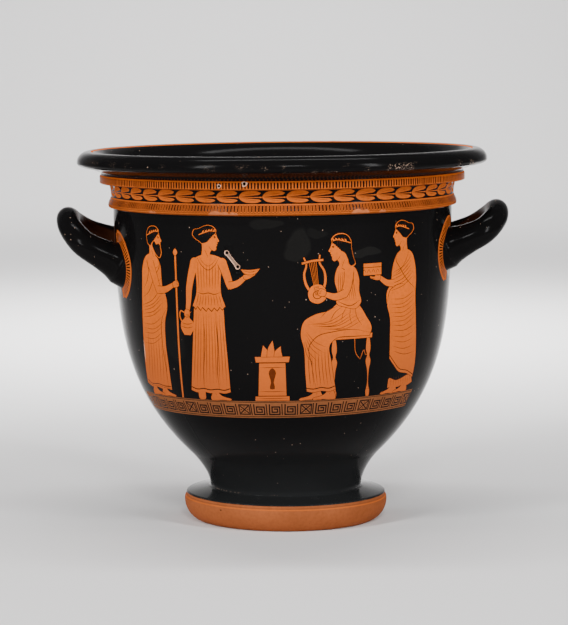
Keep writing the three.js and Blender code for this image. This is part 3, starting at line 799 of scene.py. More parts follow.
def clampSlot(startAngle, startZ, endAngle, endZ):   # bed of a lost metal clamp, a hole at each end with its floor painted near-black as shade
    middleAngle = (startAngle + endAngle) / 2
    place = panel(middleAngle, 0)
    r = float(radiusAt(runAt((startZ + endZ) / 2)))
    a, b = (np.array([math.radians(angle - middleAngle) * r, float(runAt(z))])
            for angle, z in ((startAngle, startZ), (endAngle, endZ)))
    along = (b - a) / np.linalg.norm(b - a)
    side = np.array([-along[1], along[0]])

    def ends(bulge, waist):
        out = []
        for end, way in ((b, 1), (a, -1)):
            out += [end + (along * math.cos(turn) + side * math.sin(turn)) * way * bulge
                    for turn in np.linspace(-math.pi * 0.72, math.pi * 0.72, 9)]
            out += [spot + side * waist * way for spot in (b - along * 5.0, a + along * 5.0)[::way]]
        return np.array(out)
    for bulge, waist, what in ((2.8, 1.85, "fill"), (2.25, 1.25, "fillDark")):
        sheet.append((place(ends(bulge, waist)), what))
    dents.append((place(ends(2.3, 1.3)), 0.6))
    for middle in (a, b):
        for radius in (1.6, 1.3):
            sheet.append((place(circle(middle, radius)), "holeShade"))
        dents.append((place(circle(middle, 1.35)), 2.2))


def plainYouth(brush, staff=False):           # wrapped youth for the back, drawn with few lines
    foot(brush, 4)
    foot(brush, -12)
    if staff:
        brush.line([(31.0, 0.5), (29.6, 70), (28.8, 132)], 2.0, "clay", 0, 14)
    brush.fill([(-5.6, 152), (-13.5, 147.5), (-18.0, 136), (-19.6, 112), (-21.4, 76), (-23.6, 40),
                (-24.6, 12.5, 1), (-8, 9.0), (6, 9.6), (18.0, 8.0, 1), (16.8, 44), (17.2, 78), (20.8, 98),
                (20.4, 110), (16.2, 121), (13.6, 136), (6.0, 149)], "clay", 0.45)
    brush.line([(6, 149), (11.0, 140), (3.0, 128), (-8.0, 118), (-19.4, 112)], 0.7)
    brush.line([(20.6, 99), (12.0, 90), (9.6, 58), (12.4, 30), (13.6, 10)], 0.7)
    for k in range(5):
        y = 104 - k * 15
        brush.line([(-19.8 - k * 0.8, y), (-6.0, y - 9.0), (9.2, y + 4.0 - k * 3)], 0.5,
                   "wash" if k % 2 else "relief")
    brush.limb([(13.0, 118.0, 7.4), (20.4, 119.6, 6.0), (26.4, 123.0, 4.6)])
    fist(brush.moved(29.0, 124.6), 12)
    profileHead(brush.moved(1.4, 166.6, -3), "short")


handles = [Handle(krater["right handle"]), Handle(krater["left handle"])]
roots = [handle.outline(shares) for handle in handles for shares in (handle.starts, handle.ends)]


def altar(brush):                             # low altar with a small flame
    brush.fill([(-17, 0.4), (17, 0.4), (17, 5.4), (-17, 5.4)], "clay", smooth=False)
    brush.fill([(-14, 6.2), (14, 6.2), (13, 42), (-13, 42)], "clay", smooth=False)
    brush.fill([(-16.4, 43.0, 1), (-17.4, 48.8, 1), (17.4, 48.8, 1), (16.4, 43.0, 1)], "clay", 0.0)
    for half, y in ((15.8, 2.9), (12.6, 37.4), (13.2, 11.0)):
        brush.line([(-half, y), (half, y)], 0.5)
    brush.fill([(-3.0, 34.0), (0, 37.0), (3.0, 34.0), (1.4, 21.0), (2.4, 14.0), (-2.4, 14.0), (-1.4, 21.0)],
               "wash", step=4)
    for x, tall, bend in ((-7, 12, -2), (-1, 17, 1.5), (6, 11, 2.5)):
        brush.fill([(x - 4.2, 48.8, 1), (x - 3.2, 48.8 + tall * 0.5), (x + bend, 48.8 + tall, 1),
                    (x + 3.0, 48.8 + tall * 0.45), (x + 4.2, 48.8, 1)], "clay", 0.35)


# Counts right round, places in degrees and heights, and widths and depths in millimetres
artwork = {
    "eggs": 324, "laurel pairs": 48, "tongues": 372, "neck strokes": 300,
    "ground": 150.5, "climb": 0.009, "meander": (131.4, -75.0, 59.0, 22),      # the front rises to the right
    "back ground": 150.0, "back meander": (130.0, -249.0, -111.0, 23),
    "worn": ((-21.5, 24, 4.2), (-16.5, 10, 3.0), (24.0, 22, 4.6), (32.0, 9, 3.0), (-47, 12, 2.4)),
    "drilled holes": ((-12.3, 382.6, 1.7, 1.3), (-20.1, 380.1, 1.3, 0.8)),
    "clamp": (-19.5, 309.7, -15.95, 295.2), "scratch": (-60.4, 197), "flaked gloss": (-88.5, 318),
    "thin gloss": ((-90, 9.0), (90, 6.0), (-270, 6.0)), "lip line": (207.6, 209.8),
}


def paintAll():
    at = lambda z: float(runAt(z))
    low, high, top, fillet = marks["bandLow"], marks["bandTop"], marks["hollowTop"], marks["filletTop"]
    eggBand(at(low + 1.5), at(high - 0.8), artwork["eggs"])
    ring(at(low - 1.2), at(low + 0.8), "band")
    ring(at(low + 0.8), at(low + 1.5), "leaf")
    ring(at(high - 0.8), at(high + 0.4), "leaf")
    laurelBand(at(high + 0.7), at((high + top) / 2 - 0.3), at(top - 0.9), artwork["laurel pairs"])
    ring(at(top - 0.9), at(top + 0.2), "band")
    ring(at(top + 0.2), at(top + 0.6), "relief")
    tongueBand(at(top + 0.8), at(fillet - 1.2), artwork["tongues"])
    ring(at(fillet - 1.0) - 0.4, at(fillet) + 0.2, "clay")
    for i, brush in around(artwork["neck strokes"], at(fillet) + 0.7):
        brush.fill([(-0.7, 1.5), (-0.6, 0.0), (0.5, 0.0), (0.4, 1.5)], "wash", smooth=False)
    for middle, width, tall in artwork["worn"]:
        worn = Brush(sheet, panel(middle, at(low + 0.2)))
        worn.fill([(-width / 2, -0.8), (-width * 0.36, tall * 0.7), (-width * 0.1, tall),
                   (width * 0.14, tall * 0.6), (width * 0.34, tall * 0.9), (width / 2, 0.2),
                   (width * 0.1, -1.0)], "worn", step=3)
    for outline, way in zip(roots, (1, 1, -1, -1)):
        rootBand(outline, way)
    middle, z = artwork["flaked gloss"]
    Brush(sheet, panel(middle, at(z))).fill([(-5.0, 0), (5.2, 1.2), (4.6, 6.4), (-4.4, 5.0)], "clay", step=3)
    ground, climb = at(artwork["ground"]), artwork["climb"]
    for (bottom, *rest), top, rise in ((artwork["meander"], ground, climb),
                                     (artwork["back meander"], at(artwork["back ground"]), 0.0)):
        meanderBand(at(bottom), top, *rest, rise)

    def draw(x, size=1.05, flip=False):
        return Brush(sheet, panel(0, ground, climb)).moved(x, 0.4, 0, size, flip)
    himationMan(draw(-160))
    peplosWoman(draw(-85))
    altar(draw(-16, 1.06))
    lyrePlayer(draw(60, 1.10, True))
    cloakedWoman(draw(136, 1.05, True))

    def back(x, flip=False):
        return Brush(sheet, panel(-180, ground)).moved(x, 0.2, 0, 1.04, flip)
    plainYouth(back(-96), True)
    plainYouth(back(6))
    plainYouth(back(104, True), True)
    middle, z = artwork["scratch"]
    Brush(sheet, panel(middle, at(z))).line([(3.6, 13), (1.0, 2), (-3.2, -12)], 1.0, "fill", 0.3, 3)
    for hole in artwork["drilled holes"]:
        drilledHole(*hole)
    clampSlot(*artwork["clamp"])


paintAll()
print("artwork drawn:", len(sheet), "shapes")


mapSeams = (-270, -86.25, 67.5, 90)           # where the colour map of the bell is cut, in degrees
# Left, bottom, width and height of each stretch in the colour map, in 1024ths
mapRects = {
    "picture": (0, 0, 1024, 610), "back": (0, 612, 1024, 222), "foot": (0, 836, 1024, 76),
    "lip": (0, 914, 1024, 34), "inside": (0, 950, 1024, 36),
    "handles": ((0, 988, 512, 36), (512, 988, 512, 36)),
}


def chartMesh():                              # triangles of the chart, with every painted outline as edges
    columns = krater["columns"]
    across = np.radians(-270 + np.arange(columns + 1) * 360 / columns) * span
    spots, edges, known = [], [], {}

    def add(u, s):
        key = (round(float(u), 3), round(float(s), 3))
        if key not in known:
            known[key] = len(spots)
            spots.append((float(u), float(s)))
        return known[key]
    tight = list(chartRun[bellRows - 1:])
    for low, high, _ in rings:
        tight += [low, high]
    tight = sorted(set(np.round(tight, 3)))
    tight = [tight[0]] + [b for a, b in zip(tight, tight[1:]) if b - a > 0.03]
    if abs(tight[-1] - chartTop) < 0.05:
        tight[-1] = float(chartTop)
    else:
        tight.append(float(chartTop))
    loose = [float(v) for v in chartRun[:bellRows - 1:2] if v < tight[0] - 2]
    rows = {float(s): [add(u, s) for u in across] for s in loose + tight}
    for s in [loose[0]] + tight:
        edges += list(zip(rows[s], rows[s][1:]))
    seams = [int(round((270 + angle) / 360 * columns)) for angle in mapSeams]
    order = sorted(rows)
    for column in seams:
        edges += [(rows[a][column], rows[b][column]) for a, b in zip(order, order[1:])]
    for shape in [p for p, _ in sheet] + roots:
        shape = shape[np.linalg.norm(shape - np.roll(shape, 1, 0), axis=1) > 0.02]
        ids = [add(u, s) for u, s in shape]
        edges += [(a, b) for a, b in zip(ids, ids[1:] + ids[:1]) if a != b]
    edges = list({(min(e), max(e)) for e in edges})
    made = delaunay_2d_cdt([Vector(p) for p in spots], edges, [], 0, 1e-3)
    flat = np.array([spots[origin[0]] if origin else tuple(v) for v, origin in zip(made[0], made[3])])
    tris = np.array([f for f in made[2] if len(f) == 3])
    return flat, tris


def inside(points, shape):                    # winding number of a closed outline about points
    x, y = points[:, 0][:, None], points[:, 1][:, None]
    a, b = shape, np.roll(shape, -1, 0)
    up, down = (a[:, 1] <= y) & (b[:, 1] > y), (a[:, 1] > y) & (b[:, 1] <= y)
    left = (b[:, 0] - a[:, 0]) * (y - a[:, 1]) - (x - a[:, 0]) * (b[:, 1] - a[:, 1])
    return ((up & (left > 0)).sum(1) - (down & (left < 0)).sum(1)) != 0


paints = ["gloss", "clay", "band", "wash", "relief", "foot", "fill", "holeShade", "fillDark", "worn",
          "leaf", "meander"]


def painted(flat, tris):
    middle = flat[tris].mean(1)
    paint = np.zeros(len(tris), int)
    gone = np.zeros(len(tris), bool)
    for low, high, what in rings:
        paint[(middle[:, 1] > low) & (middle[:, 1] < high)] = paints.index(what)
    order = np.argsort(middle[:, 0])
    ranked = middle[order, 0]
    jobs = [(p, paints.index(w)) for p, w in sheet] + [(p, -1) for p in roots]
    for shape, what in jobs:
        lowest, highest = shape.min(0), shape.max(0)
        near = order[np.searchsorted(ranked, lowest[0]):np.searchsorted(ranked, highest[0])]
        near = near[(middle[near, 1] > lowest[1]) & (middle[near, 1] < highest[1])]
        hit = near[inside(middle[near], shape)] if len(near) else near
        if what < 0:
            gone[hit] = True
        else:
            paint[hit] = what
    return paint, gone


class Skin:                                   # the whole surface, gathered stretch by stretch
    def __init__(self):
        self.parts, self.count = [], 0

    def add(self, spots, normals, faces, maps, paint, thin):
        self.parts.append((spots, normals, faces + self.count, maps, paint, thin))
        self.count += len(spots)


def spread(value, low, high, start, size):    # map a range onto a stretch of the colour map
    return (start + 2 + (value - low) / (high - low) * (size - 4)) / 1024


def corners(*places):                         # the colour map's three corners of each triangle
    return np.stack([np.stack(p, -1) for p in places], -2).reshape(-1, 3, 2)


def turned(skin, line, rect, paintOf):        # a stretch of the lathe
    columns = krater["columns"]
    angle = np.radians(-270 + np.arange(columns) * 360 / columns)
    n = slopes(line)
    r, z = line[:, 0][:, None], line[:, 1][:, None]
    spots = np.stack([r * np.sin(angle), -r * np.cos(angle), z + 0 * angle], -1).reshape(-1, 3)
    normals = np.stack([n[:, :1] * np.sin(angle), -n[:, :1] * np.cos(angle), n[:, 1:] + 0 * angle],
                       -1).reshape(-1, 3)
    i, j = np.meshgrid(np.arange(len(line) - 1), np.arange(columns), indexing="ij")
    a, b = i * columns + j, i * columns + (j + 1) % columns
    c, d = b + columns, a + columns
    faces = np.concatenate([np.stack([a, b, c], -1).reshape(-1, 3), np.stack([a, c, d], -1).reshape(-1, 3)])
    run = lengths(line)
    u = lambda k: spread(k, 0, columns, rect[0], rect[2])
    v = lambda k: spread(run[k], 0, run[-1], rect[1], rect[3])
    maps = np.concatenate([corners((u(j), v(i)), (u(j + 1), v(i)), (u(j + 1), v(i + 1))),
                           corners((u(j), v(i)), (u(j + 1), v(i + 1)), (u(j), v(i + 1)))])
    middle = (line[:-1] + line[1:]) / 2
    paint = np.repeat(paintOf(middle[:, 0], middle[:, 1]), columns)
    skin.add(spots, normals, faces, maps, np.concatenate([paint, paint]), np.zeros(len(spots)))


def faceSums(spots, faces):                   # at each point, the sum of its triangles' normals
    face = np.cross(spots[faces[:, 1]] - spots[faces[:, 0]], spots[faces[:, 2]] - spots[faces[:, 0]])
    sums = np.zeros_like(spots)
    for corner in range(3):
        np.add.at(sums, faces[:, corner], face)
    return sums


def handleSkin(skin, handle, ends, rect):
    rings, sides = krater["handle rings"], krater["handle sides"]
    t = np.linspace(0, 1, rings + 1)
    t = (t + (1 - np.cos(math.pi * t)) / 2) / 2
    shares = handle.starts[None] + (handle.ends - handle.starts)[None] * t[:, None]
    spots = handle.surface(shares, handle.turns[None])
    spots[0], spots[-1] = onWall(ends[0])[0], onWall(ends[1])[0]
    i, j = np.meshgrid(np.arange(rings), np.arange(sides), indexing="ij")
    a, b = i * sides + j, i * sides + (j + 1) % sides
    faces = np.concatenate([np.stack([a, b, a + sides], -1).reshape(-1, 3),
                            np.stack([b, b + sides, a + sides], -1).reshape(-1, 3)])
    u = lambda k: spread(k, 0, rings, rect[0], rect[2])
    v = lambda k: spread(k, 0, sides, rect[1], rect[3])
    maps = np.concatenate([corners((u(i), v(j)), (u(i), v(j + 1)), (u(i + 1), v(j))),
                           corners((u(i), v(j + 1)), (u(i + 1), v(j + 1)), (u(i + 1), v(j)))])
    flat = spots.reshape(-1, 3)
    normals = faceSums(flat, faces)
    normals /= np.linalg.norm(normals, axis=1)[:, None]
    inner = -handle.side * np.sin(handle.turns)
    thin = np.clip((inner - 0.35) / 0.5, 0, 1)[None] * np.ones((rings + 1, 1))
    skin.add(flat, normals, faces, maps, np.zeros(len(faces), int), thin.reshape(-1))


def leaned(spots, normals):                   # the bowl leans as one above the level foot
    k = krater
    low, rise = k["foot edge height"], k["knee rise"]
    t = np.clip((spots[:, 2] - low) / rise, 0, 1)
    angle = np.radians(k["lean"]) * t * t * (3 - 2 * t)
    x, z = spots[:, 0].copy(), spots[:, 2].copy()
    spots[:, 0] = x - (z - low) * np.sin(angle)
    spots[:, 2] = z + x * np.sin(angle)
    nx, nz = normals[:, 0].copy(), normals[:, 2].copy()
    normals[:, 0], normals[:, 2] = nx - angle * nz, nz + angle * nx
    return spots, normals


def buildSkin():
    skin = Skin()
    flat, tris = chartMesh()
    paint, gone = painted(flat, tris)
    print("chart:", len(flat), "points,", len(tris), "triangles")
    spots, normals = onWall(flat)
    tris, paint = tris[~gone], paint[~gone]
    depth = np.zeros(len(flat))
    for shape, deep in dents:
        depth[inside(flat, shape)] = deep
    spots = spots - normals * depth[:, None]
    fresh = faceSums(spots, tris[(depth[tris] > 0).any(1)])
    size = np.linalg.norm(fresh, axis=1)
    changed = size > 1e-9
    normals[changed] = fresh[changed] / size[changed][:, None]
    middle = flat[tris].mean(1)
    split = [math.radians(a) * span for a in mapSeams]
    u, s = flat[tris][..., 0], flat[tris][..., 1]
    front = ((middle[:, 0] > split[1]) & (middle[:, 0] < split[2]))[:, None]
    left = (middle[:, 0] <= split[1])[:, None]
    unrolled = np.where(left, u + math.radians(360) * span, u)
    picture, back = mapRects["picture"], mapRects["back"]
    mapU = np.where(front, spread(u, split[1], split[2], picture[0], picture[2]),
                    spread(unrolled, split[2], split[1] + math.radians(360) * span, back[0], back[2]))
    mapV = np.where(front, spread(s, 0, chartTop, picture[1], picture[3]),
                    spread(s, 0, chartTop, back[1], back[3]))
    angle = np.degrees(flat[:, 0] / span)
    z = spots[:, 2]
    thin = np.zeros(len(flat))
    for middleAngle, reach in artwork["thin gloss"]:
        near = np.exp(-((angle - middleAngle) / reach)**2) * np.clip((z - 262) / 30, 0, 1)
        thin = np.maximum(thin, near * (z < marks["throat"] + 5) * 0.9)
    skin.add(spots, normals, tris, np.stack([mapU, mapV], -1), paint, thin)
    whole = lambda name: (lambda r, z: np.full(len(r), paints.index(name)))
    edge = krater["foot edge height"]
    bare = lambda r, z: np.where((np.arange(len(r)) < 11) |
                                 (z < edge - 1.5) & (r > krater["stand radius"] - 2),
                                 paints.index("foot"), paints.index("gloss"))
    turned(skin, lowLine, mapRects["foot"], bare)
    turned(skin, lipLine, mapRects["lip"], whole("gloss"))
    crestZ = lipLine[-1][1]
    near, far = artwork["lip line"]
    line = lambda r, z: np.where((z > crestZ - 3) & (r > near) & (r < far),
                                 paints.index("clay"), paints.index("gloss"))
    turned(skin, insideLine, mapRects["inside"], line)
    for i, handle in enumerate(handles):
        handleSkin(skin, handle, roots[2 * i:2 * i + 2], mapRects["handles"][i])
    spots, normals, faces, maps, paint, thin = (np.concatenate(data) for data in zip(*skin.parts))
    keys = np.round(spots * 500).astype(np.int64)        # points within two microns become one
    _, first, same = np.unique(keys, axis=0, return_index=True, return_inverse=True)
    same = same.reshape(-1)
    summed = np.zeros((len(first), 3))
    np.add.at(summed, same, normals)
    summed /= np.maximum(np.linalg.norm(summed, axis=1), 1e-9)[:, None]
    most = np.zeros(len(first))
    np.maximum.at(most, same, thin)
    faces = same[faces]
    good = (faces[:, 0] != faces[:, 1]) & (faces[:, 1] != faces[:, 2]) & (faces[:, 0] != faces[:, 2])
    faces, maps, paint = faces[good], maps[good], paint[good]
    used, faces = np.unique(faces, return_inverse=True)
    faces = faces.reshape(-1, 3)
    spots, normals = leaned(spots[first][used], summed[used])
    return spots / 1000, normals, faces, maps, paint, most[used]


def soundness(spots, faces):                  # open edges, doubled edges and the clay's volume
    pairs = np.concatenate([faces[:, [0, 1]], faces[:, [1, 2]], faces[:, [2, 0]]])
    code = pairs[:, 0] * len(spots) + pairs[:, 1]
    back = pairs[:, 1] * len(spots) + pairs[:, 0]
    loose = np.setdiff1d(code, back)
    p = spots[faces]
    volume = np.einsum("ij,ij->i", p[:, 0], np.cross(p[:, 1], p[:, 2])).sum() / 6 * 1000
    return len(loose), len(code) - len(np.unique(code)), volume


spots, normals, faces, maps, paint, thin = buildSkin()
print("surface:", len(spots), "points,", len(faces), "triangles, open and doubled edges and litres:",
      soundness(spots, faces))


# Shader maths: a socket that can be added, multiplied and so on
class Wire:
    def __init__(self, tree, socket):
        self.tree, self.socket = tree, socket

    def sibling(self, output):                # another output of the same node
        return Wire(self.tree, self.socket.node.outputs[output])

    def math(self, operation, *others):
        return added(self.tree, "ShaderNodeMath", {"operation": operation}, dict(enumerate((self, *others))))

    def __add__(self, other):
        return self.math("ADD", other)

    def __sub__(self, other):
        return self.math("SUBTRACT", other)

    def __rsub__(self, other):
        return self.math("MULTIPLY", -1).math("ADD", other)

    def __mul__(self, other):
        return self.math("MULTIPLY", other)

    def __truediv__(self, other):
        return self.math("DIVIDE", other)

    __radd__ = __add__

    def low(self, other):
        return self.math("MINIMUM", other)

    def high(self, other):
        return self.math("MAXIMUM", other)

    def step(self, start, end):               # 0 below start, 1 above end, smooth between
        return added(self.tree, "ShaderNodeMapRange", {"interpolation_type": "SMOOTHSTEP"},
                     dict(enumerate((self, start, end, 0.0, 1.0))))

    def bump(self, middle, width):            # 1 at the middle, 0 beyond the width
        return 1 - ((self - middle).math("ABSOLUTE") / width).step(0, 1)


def added(tree, kind, settings, sockets, output=0):   # every node is made here
    node = tree.nodes.new(kind)
    for key, value in settings.items():
        setattr(node, key, value)
    for key, value in sockets.items():
        feed(tree, value, node.inputs[key])
    return Wire(tree, node.outputs[output]) if len(node.outputs) else None


def feed(tree, value, socket):                # a link, a colour or a number
    if isinstance(value, Wire):
        tree.links.new(value.socket, socket)
    elif isinstance(value, tuple) and socket.type == "RGBA":
        socket.default_value = (*value, 1.0)
    else:
        socket.default_value = value


class Graph:                                  # the nodes of one material
    def __init__(self, name):
        self.material = bpy.data.materials.new(name)
        self.material.use_nodes = True
        self.tree = self.material.node_tree
        self.tree.nodes.clear()
        self.place = self.node("ShaderNodeTexCoord", {}, {}, "Object")
        split = self.node("ShaderNodeSeparateXYZ", {}, {0: self.place})
        self.x, self.y, self.z = (split.sibling(axis) for axis in "XYZ")

    def node(self, kind, settings, sockets, output=0):
        return added(self.tree, kind, settings, sockets, output)

    def shifted(self, seed, stretch=(1, 1, 1)):
        return self.node("ShaderNodeMapping", {}, {"Vector": self.place, "Scale": stretch,
                                                   "Location": (seed, seed, seed)})

    def noise(self, scale, detail, stretch=(1, 1, 1), seed=0.0):
        return self.node("ShaderNodeTexNoise", {}, {"Vector": self.shifted(seed, stretch), "Scale": scale,
                                                    "Detail": detail, "Roughness": 0.55})

    def flecks(self, scale, size, share, seed=0.0):   # scattered specks of uneven size
        distance = self.node("ShaderNodeTexVoronoi", {}, {"Vector": self.shifted(seed), "Scale": scale},
                             "Distance")
        chance = self.node("ShaderNodeSeparateColor", {}, {0: distance.sibling("Color")}, "Red")
        vary = chance.sibling("Green")
        ragged = distance + (self.noise(scale * 6, 2) - 0.5) * 0.10
        shape = 1 - ragged.step(size * 0.4, size * 0.6 + vary * size)
        return shape * chance.step(1 - share, 1 - share + 0.01)

    def blend(self, factor, a, b):            # sockets 6, 7 and output 2 are the Mix node's colours
        return self.node("ShaderNodeMix", {"data_type": "RGBA"}, {0: factor, 6: a, 7: b}, 2)

    def attribute(self, name):
        return self.node("ShaderNodeAttribute", {"attribute_name": name}, {}, "Fac")

    def finish(self, colour, roughness, level, height=None, strength=0.0, distance=0.0):
        sockets = {"Base Color": colour, "Roughness": roughness, "Specular IOR Level": level}
        if height is not None:
            sockets["Normal"] = self.node("ShaderNodeBump", {}, {"Strength": strength, "Distance": distance,
                                                                 "Height": height})
        shader = self.node("ShaderNodeBsdfPrincipled", {}, sockets)
        self.node("ShaderNodeOutputMaterial", {}, {"Surface": shader})
        return self.material


# Colours, and the places of the wear in metres; the low clay towards the foot and the pit colour of the
# holes are painted shade, the lighter gloss on the foot and stem is a painted reflection, and the lines at
# the foot ledge and groove are a painted highlight and a painted shade
glaze = {
    "gloss": (0.0044, 0.0042, 0.0043), "gloss cloud": (0.0050, 0.0045, 0.0046),
    "gloss brown": (0.045, 0.014, 0.006), "mended gloss": (0.0095, 0.0092, 0.0086),
    "stem reflection gloss": (0.014, 0.0146, 0.0150), "chip": (0.55, 0.38, 0.28), "holeShade": (0.004, 0.003, 0.003),
    "clay": (0.68, 0.132, 0.010), "low shade clay": (0.40, 0.088, 0.018), "band clay": (0.30, 0.066, 0.011),
    "leaf clay": (0.47, 0.098, 0.012), "worn clay": (0.46, 0.13, 0.045), "meander clay": (0.22, 0.076,
                                                                                          0.028),
    "foot clay": (0.34, 0.094, 0.030), "clay fleck": (0.10, 0.03, 0.01), "nick": (0.03, 0.012, 0.006),
    "wash": (0.085, 0.017, 0.004), "fill": (0.66, 0.40, 0.28), "sheen": 0.022,
    "mends": ((0.010, 0.318, 0.016, 0.015, 0.8), (-0.028, 0.336, 0.020, 0.006, 0.6),
              (0.082, 0.309, 0.018, 0.005, 0.9), (0.030, 0.332, 0.014, 0.006, 0.5),
              (-0.120, 0.215, 0.016, 0.030, 0.4), (0.118, 0.250, 0.012, 0.030, 0.3)),
    "lip chips": 0.3990, "edge chips": 0.0299, "joint chips": 0.0370, "neck strokes": 0.3897,
    "foot ledge highlight": 0.0252, "foot groove shade": 0.0268, "nick place": (-0.0725, 0.0215),
}


def glossMaterial():                          # black gloss with its thin, mended and chipped places, and a painted reflection that lightens it on the foot and stem
    g = Graph("blackGloss")
    cloud = g.noise(9, 4)
    fine = g.noise(140, 3)
    colour = g.blend(cloud.step(0.42, 0.72) * 0.5, glaze["gloss"], glaze["gloss cloud"])
    thin = (g.attribute("thin") * 1.25 + (cloud - 0.5) * 0.9 + (fine - 0.5) * 0.35).step(0.35, 0.95)
    colour = g.blend(thin, colour, glaze["gloss brown"])
    warp, mended = (g.noise(22, 2) - 0.5) * 0.030, 0.0
    for x, z, across, up, strength in glaze["mends"]:
        far = ((g.x - x + warp) / across).math("POWER", 2) + ((g.z - z + warp) / up).math("POWER", 2)
        mended = (1 - far.step(0.55, 1.0)) * strength + mended
    mended = mended * g.y.step(-0.02, -0.06)
    colour = g.blend(mended, colour, glaze["mended gloss"])
    lipFace = g.z.bump(glaze["lip chips"],
                       0.0060) * (g.x.step(-0.045, -0.01) * 0.9 + 0.1) * g.y.step(-0.02, -0.10)
    cluster = g.noise(34, 2, seed=4.0).step(0.50, 0.58)
    chips = lipFace * cluster * g.noise(620, 2, stretch=(1, 1, 1.4), seed=2.0).step(0.58, 0.62)
    ragged = g.noise(300, 2, seed=9.0).step(0.52, 0.60) * g.noise(25, 2, seed=3.0).step(0.46, 0.58)
    fineRagged = g.noise(420, 2, seed=9.0).step(0.50, 0.58) * g.noise(25, 2, seed=3.0).step(0.42, 0.55)
    edgeChips = g.z.bump(glaze["edge chips"], 0.0009) * fineRagged
    jointChips = g.z.bump(glaze["joint chips"], 0.0010) * ragged * (1.6 - g.x.step(-0.02, 0.0) * 1.3)
    onHandles = g.x.math("ABSOLUTE").step(0.185, 0.20) * (1 - g.z.step(0.352, 0.358))
    specks = g.flecks(95, 0.065, 0.07) + g.flecks(230, 0.12, 0.08, 7.0) * 0.8
    specks = specks + g.flecks(150, 0.085, 0.5, 11.0) * onHandles
    wear = (specks + chips + edgeChips + jointChips).low(1.0)
    colour = g.blend(wear * 0.9, colour, glaze["chip"])
    # painted reflection: the gloss is lighter below 55 mm and fades back to plain black by 130 mm, over the
    # foot, the stem and the lowest bell
    colour = g.blend((1 - g.z.step(0.055, 0.13)) * (0.75 + cloud * 0.3), colour, glaze["stem reflection gloss"])
    strokes = (g.y.math("ARCTAN2", g.x) * 300).math("SINE").step(0.1, 0.5) * g.z.bump(glaze["neck strokes"],
                                                                                      0.0026)
    colour = g.blend(strokes * 0.8, colour, glaze["gloss brown"])
    rings = g.noise(40, 2, stretch=(0.02, 0.02, 1.0))
    rough = mended * 0.2 + 0.09 + cloud * 0.06 + fine * 0.03 + wear * 0.4 + thin * 0.18
    height = rings * 0.7 + g.noise(60, 3) * 0.25 - wear * 0.5
    return g.finish(colour, rough, glaze["sheen"], height, 0.06, 0.0012)


def clayMaterial(name, colour, deep, low=None, ledge=False):   # low is a painted shade, a darker colour towards the foot; ledge adds a painted highlight line, a painted shade line and a nick on the foot
    g = Graph(name)
    cloud, fine = g.noise(14, 4), g.noise(260, 3)
    tone = g.blend(cloud.step(0.35, 0.7) * 0.75, colour, deep)
    tone = g.blend((fine - 0.42).high(0.0) * 0.9, tone, deeper(deep, 0.55))
    if low:
        # painted shade: the clay darkens towards the foot, below 290 mm, where less light falls on the bell
        tone = g.blend((1 - g.z.step(0.13, 0.29)) * 0.85 + cloud * 0.1, tone, low)
    tone = g.blend(g.flecks(170, 0.09, 0.05, 5.0) * 0.6, tone, glaze["clay fleck"])
    if ledge:
        # painted highlight along the foot's ledge, then painted shade along the groove just above it
        tone = g.blend(g.z.bump(glaze["foot ledge highlight"], 0.0009) * 0.55, tone, glaze["clay"])
        tone = g.blend(g.z.bump(glaze["foot groove shade"], 0.0008) * 0.5, tone, deeper(colour, 0.45))
        x, z = glaze["nick place"]
        nick = ((g.x - x) / 0.0012).math("POWER", 2) + ((g.z - z) / 0.0011).math("POWER", 2)
        tone = g.blend((1 - nick.low(1.0)) * g.y.step(0.0, -0.02), tone, glaze["nick"])
    return g.finish(tone, cloud * 0.1 + 0.62, glaze["sheen"], fine * 0.5 + cloud, 0.08, 0.0006)


def lineMaterial(name, colour, roughness):
    g = Graph(name)
    fine = g.noise(220, 3)
    tone = g.blend(fine.step(0.35, 0.75) * 0.35, colour, tuple(v * 1.5 + 0.001 for v in colour))
    return g.finish(tone, roughness, glaze["sheen"])


def deeper(colour, share):
    return tuple(v * share for v in colour)


def clay(name, tint, share, **more):
    return clayMaterial(name, glaze[tint], deeper(glaze[tint], share), **more)


# In the order of the paints
finishes = [glossMaterial(), clay("bareClay", "clay", 0.8, low=glaze["low shade clay"]),
            clay("bandClay", "band clay", 0.7), lineMaterial("dilutedLine", glaze["wash"], 0.5),
            lineMaterial("blackLine", glaze["gloss"], 0.16), clay("footClay", "foot clay", 0.7, ledge=True),
            # the near-black finish of the hole floors is painted shade
            lineMaterial("paleFill", glaze["fill"], 0.6), lineMaterial("paintedHoleShade", glaze["holeShade"], 0.9),
            lineMaterial("paleFillDeep", deeper(glaze["fill"], 0.33), 0.7), clay("wornClay", "worn clay",
                                                                                 0.7),
            clay("leafClay", "leaf clay", 0.75), clay("meanderClay", "meander clay", 0.75)]

mesh = bpy.data.meshes.new("kraterSurface")
mesh.from_pydata(spots.tolist(), [], faces.tolist())
for finish in finishes:
    mesh.materials.append(finish)
mesh.polygons.foreach_set("material_index", paint.astype(np.int32))
mesh.polygons.foreach_set("use_smooth", np.ones(len(faces), bool))
mapLayer = mesh.uv_layers.new(name="OFBake")
mapLayer.data.foreach_set("uv", maps.reshape(-1).astype(np.float32))
thinLayer = mesh.attributes.new("thin", "FLOAT", "POINT")
thinLayer.data.foreach_set("value", thin.astype(np.float32))
mesh.normals_split_custom_set_from_vertices(normals.tolist())
mesh.update()
vessel = bpy.data.objects.new("vesselSurface", mesh)
bpy.context.scene.collection.objects.link(vessel)
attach(vessel, "root")
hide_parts("krater")
print("vessel built")


